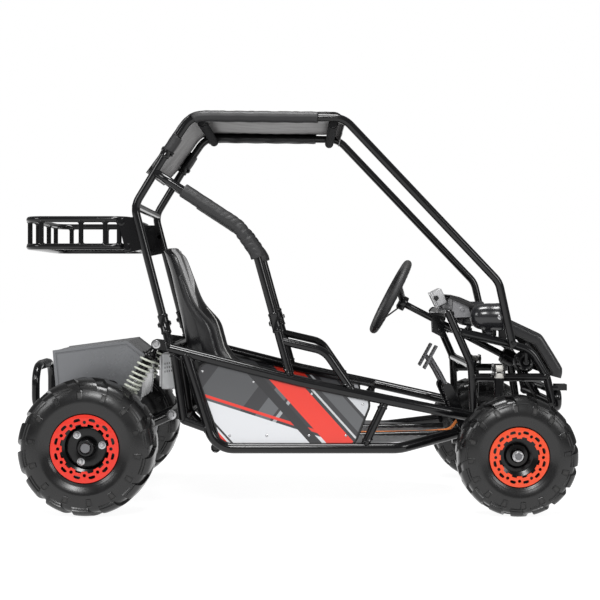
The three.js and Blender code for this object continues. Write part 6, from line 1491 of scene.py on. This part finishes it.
# Steering column: a steel tube in the same black coat, from the wheel's hub down to the steering gear. It is
# turned a little thinner below the hub, and its ends are chamfered.
column_long = np.linalg.norm(column_foot - column_top)
profile = [(0.0105, 0.0113), (0.011, 0.0125), (0.011, 0.03), (0.0108, 0.0305), (0.0108, 0.12), (0.011, 0.121),
           (0.011, 0.2), (0.0109, column_long - 0.002), (0.0104, column_long)]
shells = [spun(column_top, column_axis, profile, 28)]
make("steering_column_tube", shells, black_coat, "steering_column", "steering")

# Steering wheel: a steel ring in moulded foam with finger grips on its back, and three pressed spokes in
# black on a round hub with three screws.
wheel_radius, wheel_grip, wheel_dish = 0.12, 0.0135, 0.045
wheel_up = np.array([-column_axis[2], 0, column_axis[0]])
wheel_side = np.array([0, 1.0, 0])
wheel_centre = column_top - column_axis * wheel_dish
around = np.linspace(0, 2 * math.pi, 288, endpoint=False)
section = np.linspace(0, 2 * math.pi, 32, endpoint=False)
a, s = np.meshgrid(around, section, indexing="ij")
grips = 0.0011 * np.maximum(0, np.cos(s - math.pi * 0.75)) * (0.5 - 0.5 * np.cos(a * 36)) ** 0.6
seam = -0.0008 * np.exp(-((s - math.pi) / 0.09) ** 2)
size = wheel_grip - 0.0006 - grips + seam
reach = wheel_radius + size * np.cos(s)
spokes = np.cos(a)[..., None] * wheel_side + np.sin(a)[..., None] * wheel_up
rows = wheel_centre + reach[..., None] * spokes + (size * np.sin(s))[..., None] * column_axis
foam = surface("moulded black foam", "grip_plastic", (0.015, 0.015, 0.016), 0.5, dust=0.15, uneven=0.3,
               scale=1300.0, bump=0.4)
make("steering_wheel_grip", [skin(rows, ring=True)], foam, "steering_wheel", "steering", crease=60)
hub_profile = [(0.019, -0.0145), (0.0225, -0.013), (0.024, -0.0105), (0.024, 0.0095),
               (0.0228, 0.011), (0.0115, 0.011)]
spoke_section = np.array([(1, 0.0016), (0.9, 0.002), (-0.9, 0.002), (-1, 0.0016), (-1, -0.0016),
                          (-0.9, -0.002), (0.9, -0.002), (1, -0.0016)])
shells = [spun(column_top, column_axis, hub_profile, 40)]
for index in range(3):
    angle = math.pi / 2 + 2 * math.pi * index / 3
    spoke = wheel_side * math.cos(angle) - wheel_up * math.sin(angle)
    beside = np.cross(spoke, column_axis)
    start = column_top + spoke * 0.012 - column_axis * 0.002
    end = wheel_centre + spoke * (wheel_radius - 0.004)
    knee = wheel_centre + spoke * 0.075 + column_axis * 0.012
    path = bent([start, knee, end], 0.05, 0.12)
    width = np.interp(np.linspace(0, 1, len(path)), [0, 0.3, 1], [0.0155, 0.0105, 0.0125])
    normal = np.cross(beside, unit(np.gradient(path, axis=0)))
    across = spoke_section[:, :1] * width[:, None, None] * beside
    shells.append(skin(path[:, None] + across + spoke_section[:, 1:] * normal[:, None]))
    spot = column_top - column_axis * 0.0142 + spoke * 0.0145
    shells += bolt(spot, -column_axis, 0.0028, 0.0018, washer=False)
make("steering_wheel_spokes", shells, black_coat, body="steering")

# Pedals: a bent arm of dull steel on a round hub, with a flat pad that has rows of rubber studs on its
# face. The brake is on the left, the throttle on the right.
pad_thickness, pad_width, pad_height, pad_tilt = 0.006, 0.062, 0.084, 0.5
stud_apart, stud_above = 0.0142, 0.0112
pad_turn = np.array(Euler((0, pad_tilt, 0)).to_matrix())
backward = pad_turn @ (-1, 0, 0)
stud_profile = [(0.0042, -0.0005), (0.004, 0.0005), (0.003, 0.0009)]
for name, side in (("throttle", -1), ("brake", 1)):
    pivot = np.array([pedal_x, side * pedal_y, pedal_z])
    centre = pivot + (-0.055, 0, 0.098)
    shells = [cross_rod(pivot, pivot[1] - pedal_half, pivot[1] + pedal_half, 0.01, 28),
              tube([pivot, (pivot + centre) / 2 + (0.004, 0, -0.003), centre], 0.007, 0.05, 20)]
    shells.append(slab(centre, [pad_thickness, pad_width, pad_height], pad_tilt, 0.0016))
    make(f"{name}_pedal_arm", shells, dull_steel, f"{name}_pedal", name)
    shells = []
    for row in range(-3, 4):
        for column in (-1.5, -0.5, 0.5, 1.5):
            spot = centre + pad_turn @ (-pad_thickness / 2, column * stud_apart, row * stud_above)
            shells.append(spun(spot, backward, stud_profile, 12))
    make(f"{name}_pedal_studs", shells, rubber_bush, body=name)

# Wiring conduit: an orange corrugated sleeve of plastic round the cables. It lies along the floor from the
# tower to the nose, on the inner side of the right floor tube.
conduit_orange = surface("orange conduit", "dark_plastic", (0.72, 0.2, 0.03), 0.42, dust=0.25, bump=0.1)
points = [(-0.24, -0.085, 0.213), (-0.16, -0.086, 0.212), (0.05, -0.095, 0.2105), (0.22, -0.098, 0.2105),
          (0.4, -0.094, 0.212), (0.49, -0.085, 0.218), (0.515, -0.075, 0.25)]
path = evenly(bent(points, 0.06, 0.05), 520)[0]
size = 0.0046 + 0.0007 * np.sin(np.arange(len(path)) * math.pi / 2 + 0.3)
make("wiring_conduit", [skin(carried(path, circle(1, 12) * size[:, None, None]))], conduit_orange, crease=80)

# Tyres: off road tyres of black rubber, moulded with open lugs that lean outwards from the crown, a small
# horseshoe pad below each lug and fine rings round the bead. The beads sit on the rims.
rear_wheel = dict(radius=rear_radius, half=0.1, bead=0.092, lugs=14, y=rear_track,
                  x=box_offset - wheelbase / 2, bore=0.0159, hub=0.027, hub_out=0.066, disc=0.032,
                  flange=0.1, ring_inner=0.066, ring_tab=0.008, holes=(0.0776, 0.0051),
                  slots=(0.0813, 0.0902), pad=0.785)
front_wheel = dict(radius=front_radius, half=0.0725, bead=0.079, lugs=16, y=front_wheel_y, x=axle_x,
                   bore=0.0103, hub=0.02, hub_out=front_hub_out, disc=0.012, flange=0.087, ring_inner=0.055,
                   ring_tab=0.0065, holes=(0.0694, 0.0047), slots=(0.0698, 0.0784), pad=0.81)
wheel_places = [(end, hand, side, size, "rear_axle" if end == "rear" else f"front_wheel_{hand}")
                for end, size in (("rear", rear_wheel), ("front", front_wheel))
                for hand, side in sides.items()]
lug_depth, section_fill = 0.0088, 0.985
section = eased([(0.452, 0.58), (0.46, 0.7), (0.485, 0.8), (0.53, 0.885), (0.59, 0.955), (0.66, 1),
                 (0.73, 0.988), (0.8, 0.945), (0.862, 0.88), (0.905, 0.81), (0.935, 0.7),
                 (0.953, 0.43), (0.957, 0)], 49)


def tyre_surface(size):
    """The section is a smooth curve through shares of the radius and of the half width, from bead to
    bead. A lug raises it along its normal where both its turn and its side are inside the lug's edges;
    rows and columns are doubled there, so that its walls are steep, and columns lean with the side."""
    foot, head, seam = 31.0, 33.0, 47.9
    lug_rows = [foot, foot + 0.35, head, head + 0.3, *np.arange(34, 47.5, 1.6), seam, 48]
    at = np.concatenate([np.arange(30), lug_rows])
    half = np.stack([np.interp(at, np.arange(49), section[:, axis]) for axis in (0, 1)], axis=-1)
    both = np.concatenate([half * (1, -1), half[-2::-1]])
    index = np.concatenate([at, at[-2::-1]])
    spot = both * (size["radius"], size["half"] * section_fill)
    heading = unit(np.gradient(spot, axis=0))
    normal = np.stack([heading[:, 1], -heading[:, 0]], axis=-1)
    ribs = 0.0007 * (np.abs(np.sin(index * 2.1)) > 0.8) * (index < 14) * (index > 3)
    spot = spot + normal * ribs[:, None]
    u = np.array([0, 0.018, 0.06, 0.11, 0.128, 0.25, 0.38, 0.5, 0.518, 0.56, 0.61, 0.628, 0.75, 0.88])
    u = (np.arange(size["lugs"])[:, None] + u).ravel() / size["lugs"]
    phase = (u * size["lugs"]) % 1
    right, left = (phase > 0.01) * (phase < 0.615), (phase > 0.515) + (phase < 0.115)
    on_right = np.arange(len(index))[:, None] < len(at)
    tall = np.clip((index - foot) / 0.35, 0, 1) * 0.55 + np.clip((index - head) / 0.3, 0, 1) * 0.45
    tall = tall * (1 - (index > 47.95))
    lug = np.where(on_right, right, left) * tall[:, None]
    lean = 0.42 * np.abs(both[:, 1]) ** 1.5
    angle = 2 * math.pi * (u[None] + lean[:, None] / size["lugs"])
    reach = np.minimum(spot[:, :1] + normal[:, :1] * lug * lug_depth, size["radius"])
    y = spot[:, 1:] + normal[:, 1:] * lug * lug_depth * 0.6
    lining = spot[[-1, 0]] + [(0.012, -0.02), (0.012, 0.02)]
    reach = np.concatenate([reach, lining[:, :1] + 0 * u])
    y = np.concatenate([y, lining[:, 1:] + 0 * u])
    angle = np.concatenate([angle, angle[[-1, 0]]])
    return np.stack([reach * np.sin(angle), y, reach * np.cos(angle)], axis=-1)


def horseshoe(size, angle, side):
    """A raised pad with a dished middle: its outline on rings that shrink towards its centre, each as far
    out as the sidewall's curve is at its own radius, less a root's depth or plus the pad's height."""
    outline = np.array([(-7, -13), (7, -13), (9.5, 8), (7.5, 11.5), (-7.5, 11.5), (-9.5, 8)]) / 1000
    rows = []
    for height, inset in ((-0.003, 1), (0.002, 1), (0.0028, 0.92), (0.0028, 0.7), (0.0008, 0.62)):
        flat = outline * inset
        reach = size["pad"] * size["radius"] + flat[:, 1]
        turn = angle + flat[:, 0] / reach
        wall = np.interp(reach / size["radius"], *section.T) * size["half"] * section_fill
        rows.append(np.stack([reach * np.sin(turn), side * (wall + height), reach * np.cos(turn)], axis=-1))
    return skin(rows)


def worn(tree, results):
    """Rubber: mould sheen that varies round the wheel, and pale dust that stays in the grooves."""
    spot = node(tree, "TexCoord")["Object"]
    broad = node(tree, "TexNoise", Vector=spot, Scale=22.0, Detail=6.0)[0]
    edge = node(tree, "NewGeometry")["Pointiness"]
    groove = ramp(tree, edge, 0.49, 0.44)
    amount = times(tree, maths(tree, "ADD", groove, 0.12), ramp(tree, broad, 0.35, 0.7))
    colour = blended(tree, times(tree, amount, 0.35), results["Colour"], (0.045, 0.043, 0.041, 1))
    rough = maths(tree, "ADD", results["Roughness"], times(tree, amount, 0.3))
    return {"Colour": colour, "Roughness": rough}


tyre_rubber = surface("tyre rubber", "tyre_rubber", (0.005, 0.005, 0.0053), 0.25, dust=0.0, uneven=0.25,
                      scale=900.0, bump=0.12, shine=0.5, extra=worn)
for end, hand, side, size, body in wheel_places:
    rows = tyre_surface(size)
    centre = np.array([size["x"], side * size["y"], size["radius"]])
    shells = [skin(rows * (1, side, 1) + centre, ring=True)]
    for lug in range(size["lugs"]):
        for way, start in ((-1, 0.06), (1, 0.56)):
            points, faces = horseshoe(size, 2 * math.pi * (lug + start + 0.25) / size["lugs"], way)
            shells.append((points * (1, side, 1) + centre, faces))
    make(f"{end}_tyre_rubber_{hand}", shells, tyre_rubber, f"{end}_tyre_{hand}", body, crease=32)

# Rims: pressed steel barrels with a dished disc, in gloss black. A ring with three bolts holds each rear one
# on the axle, and the front ones turn on the spindles on plain hubs.
black_rim = surface("gloss black rim", "black_rim", (0.004, 0.004, 0.0045), 0.2, coat=0.1, dust=0.0,
                    bump=0.04, shine=0.3)
rim_share, rim_wall = 0.78, 0.0035
for end, hand, side, size, body in wheel_places:
    half, wall = size["half"] * rim_share, rim_wall
    seat_radius, disc, out = size["bead"] - 0.0003, size["disc"], half + wall
    barrel = seat_radius - wall
    dish = [(size["hub"], disc + wall), (size["hub"] + 0.012, disc + wall),
            (size["hub"] + 0.018, disc + wall - 0.006), (barrel - 0.026, disc + wall - 0.006),
            (barrel - 0.012, disc + wall + 0.001), (barrel, disc + wall + 0.001)]
    inner = [(barrel, disc - 0.001), (barrel - 0.014, disc - 0.001), (barrel - 0.027, disc - 0.008),
             (size["hub"] + 0.017, disc - 0.008), (size["bore"] + 0.004, disc - 0.001),
             (size["bore"], disc - 0.001)]
    profile = [*inner[::-1], (barrel, -half), (seat_radius, -half), (seat_radius, half + 0.0003),
               (size["flange"], half + 0.0003), (size["flange"], out), (barrel, out), *dish[::-1],
               (size["hub"], size["hub_out"] - 0.004), (size["hub"] - 0.004, size["hub_out"]),
               (size["bore"], size["hub_out"])]
    centre = np.array([size["x"], side * size["y"], size["radius"]])
    shells = [turned(rounded(profile) * (1, side), centre, 96)]
    if end == "rear":
        hub = rounded([(0.029, disc + wall), (0.061, disc + wall), (0.061, disc + 0.0075),
                       (0.056, disc + 0.009), (0.029, disc + 0.009)], 0.001)
        shells.append(turned(hub * (1, side), centre, 72))
    make(f"{end}_rim_{hand}_steel", shells, black_rim, f"{end}_rim_{hand}", body)

# Hub bolts and axle nuts: three zinc plated bolts on each rear hub, and a washer with a dull steel nut on
# the axle's threaded end.
nut_washer = np.array([(0.0102, -0.001), (0.0148, -0.001), (0.0152, 0.0005), (0.0145, 0.0016),
                       (0.0108, 0.0016), (0.0102, 0.0006)])
for hand, side in sides.items():
    centre = rear_axle + (0, side * rear_track, 0)
    shells = []
    for index in range(3):
        angle = 2 * math.pi * index / 3 + 0.14
        head = centre + (0.046 * math.cos(angle), side * 0.041, 0.046 * math.sin(angle))
        shells += bolt(head, (0, side, 0), 0.0078, 0.0062)
        shells.append(rod(head + (0, side * 0.006, 0), head + (0, side * 0.0095, 0), 0.0042, 16))
    make(f"rear_hub_bolts_{hand}", shells, zinc, body="rear_axle")
    tip = centre + (0, side * 0.0665, 0)
    shells = bolt(tip, (0, side, 0), 0.0085, 0.0035, washer=False)
    shells.append(rod(tip, tip + (0, side * 0.0052, 0), 0.0045, 24))
    shells.append(turned(nut_washer * (1, side), tip, 40))
    make(f"rear_axle_nut_{hand}", shells, dull_steel, body="rear_axle")

# Trim rings: laser-cut steel rings in red-orange enamel, fixed over the outer flanges. Twelve tabs with
# round holes alternate with twelve curved slots, and the inner edge is notched.
enamels = {end: surface(label, "red_metal", colour, 0.3, coat=0.15, dust=0.05, bump=0.05, shine=0.35)
           for end, label, colour in (("rear", "red enamel", (0.66, 0.026, 0.012)),
                                      ("front", "red-orange enamel", (0.7, 0.062, 0.016)))}
tabs, trim_thickness = 12, 0.004
pitch = 2 * math.pi / tabs
turn = np.linspace(0, 2 * math.pi, 28, endpoint=False)
broad, tall = (np.sign(share) * np.abs(share) ** 0.6 for share in (-np.cos(turn), np.sin(turn)))
for end, hand, side, size, body in wheel_places:
    notches = [arc(size["ring_inner"] + (size["ring_tab"] * 0.8 if step % 2 else 0),
                   (step - 0.44) * pitch / 2, (step + 0.44) * pitch / 2, 7) for step in range(2 * tabs)]
    (hole_at, hole), (low, high) = size["holes"], size["slots"]
    holes = [np.concatenate(notches)]
    for angle in np.arange(tabs) * pitch:
        holes.append(circle(hole, 16) + (hole_at * math.cos(angle), hole_at * math.sin(angle)))
        out = (low + high) / 2 + (high - low) / 2 * tall
        across = angle + pitch / 2 + pitch * (0.22 - 0.03 * tall) * broad
        holes.append(np.stack([out * np.cos(across), out * np.sin(across)], axis=-1))
    points, faces = cut_sheet(circle(size["flange"], 128), holes, trim_thickness)
    level = size["y"] + size["half"] * rim_share + rim_wall + clearance + trim_thickness / 2
    sheet = points * (1, 1, side), faces
    ring = stood(sheet, side * level, (size["x"], 0, size["radius"]))
    make(f"{end}_trim_ring_{hand}", [ring], enamels[end], f"{end}_ring_{hand}", body, crease=30)

# Studio: a pale glowing floor, a big soft light above, a key light above the camera and a soft light on
# each side. The white surroundings are dimmed for everything but the view itself.
floor_look = bpy.data.materials.new("pale floor")
floor_look.use_nodes = True
floor_shader = floor_look.node_tree.nodes["Principled BSDF"]
floor_shader.inputs["Base Color"].default_value = (0.2, 0.2, 0.2, 1)
floor_shader.inputs["Emission Color"].default_value = (1, 1, 1, 1)
floor_shader.inputs["Emission Strength"].default_value = 0.93
floor_shader.inputs["Roughness"].default_value = 0.75
bpy.ops.mesh.primitive_plane_add(size=40)
floor = bpy.context.object
floor.name = "studio_floor"
floor.data.materials.append(floor_look)

world = bpy.data.worlds.new("soft studio")
bpy.context.scene.world = world
bpy.context.scene.view_settings.view_transform = "Standard"
world.use_nodes = True
sky = world.node_tree
ray = node(sky, "LightPath")
sky.nodes["Background"].inputs["Color"].default_value = (1, 1, 1, 1)
dimmed = maths(sky, "MULTIPLY_ADD", ray["Is Glossy Ray"], -0.12, 0.34)
strength = maths(sky, "MULTIPLY_ADD", ray["Is Camera Ray"], 0.66, dimmed)
sky.links.new(strength, sky.nodes["Background"].inputs["Strength"])


def light(name, place_at, size, power, aim=(0, 0, 0.5)):
    """A square soft light turned towards a point."""
    data = bpy.data.lights.new(name, "AREA")
    data.energy, data.size = power, size
    lamp = bpy.data.objects.new(name, data)
    lamp.location = place_at
    direction = np.subtract(aim, place_at)
    lamp.rotation_euler = Euler((math.atan2(math.hypot(*direction[:2]), -direction[2]), 0,
                                 math.atan2(direction[1], direction[0]) - math.pi / 2))
    bpy.context.scene.collection.objects.link(lamp)


light("overhead", (0, -0.6, 4), 1.3, 120)
light("key above the camera", (-0.3, -4.4, 3.4), 1.1, 110)
light("front left", (3.5, -3, 2.2), 1.4, 45)
light("rear right", (-3.5, -2.5, 2.6), 1.4, 45)
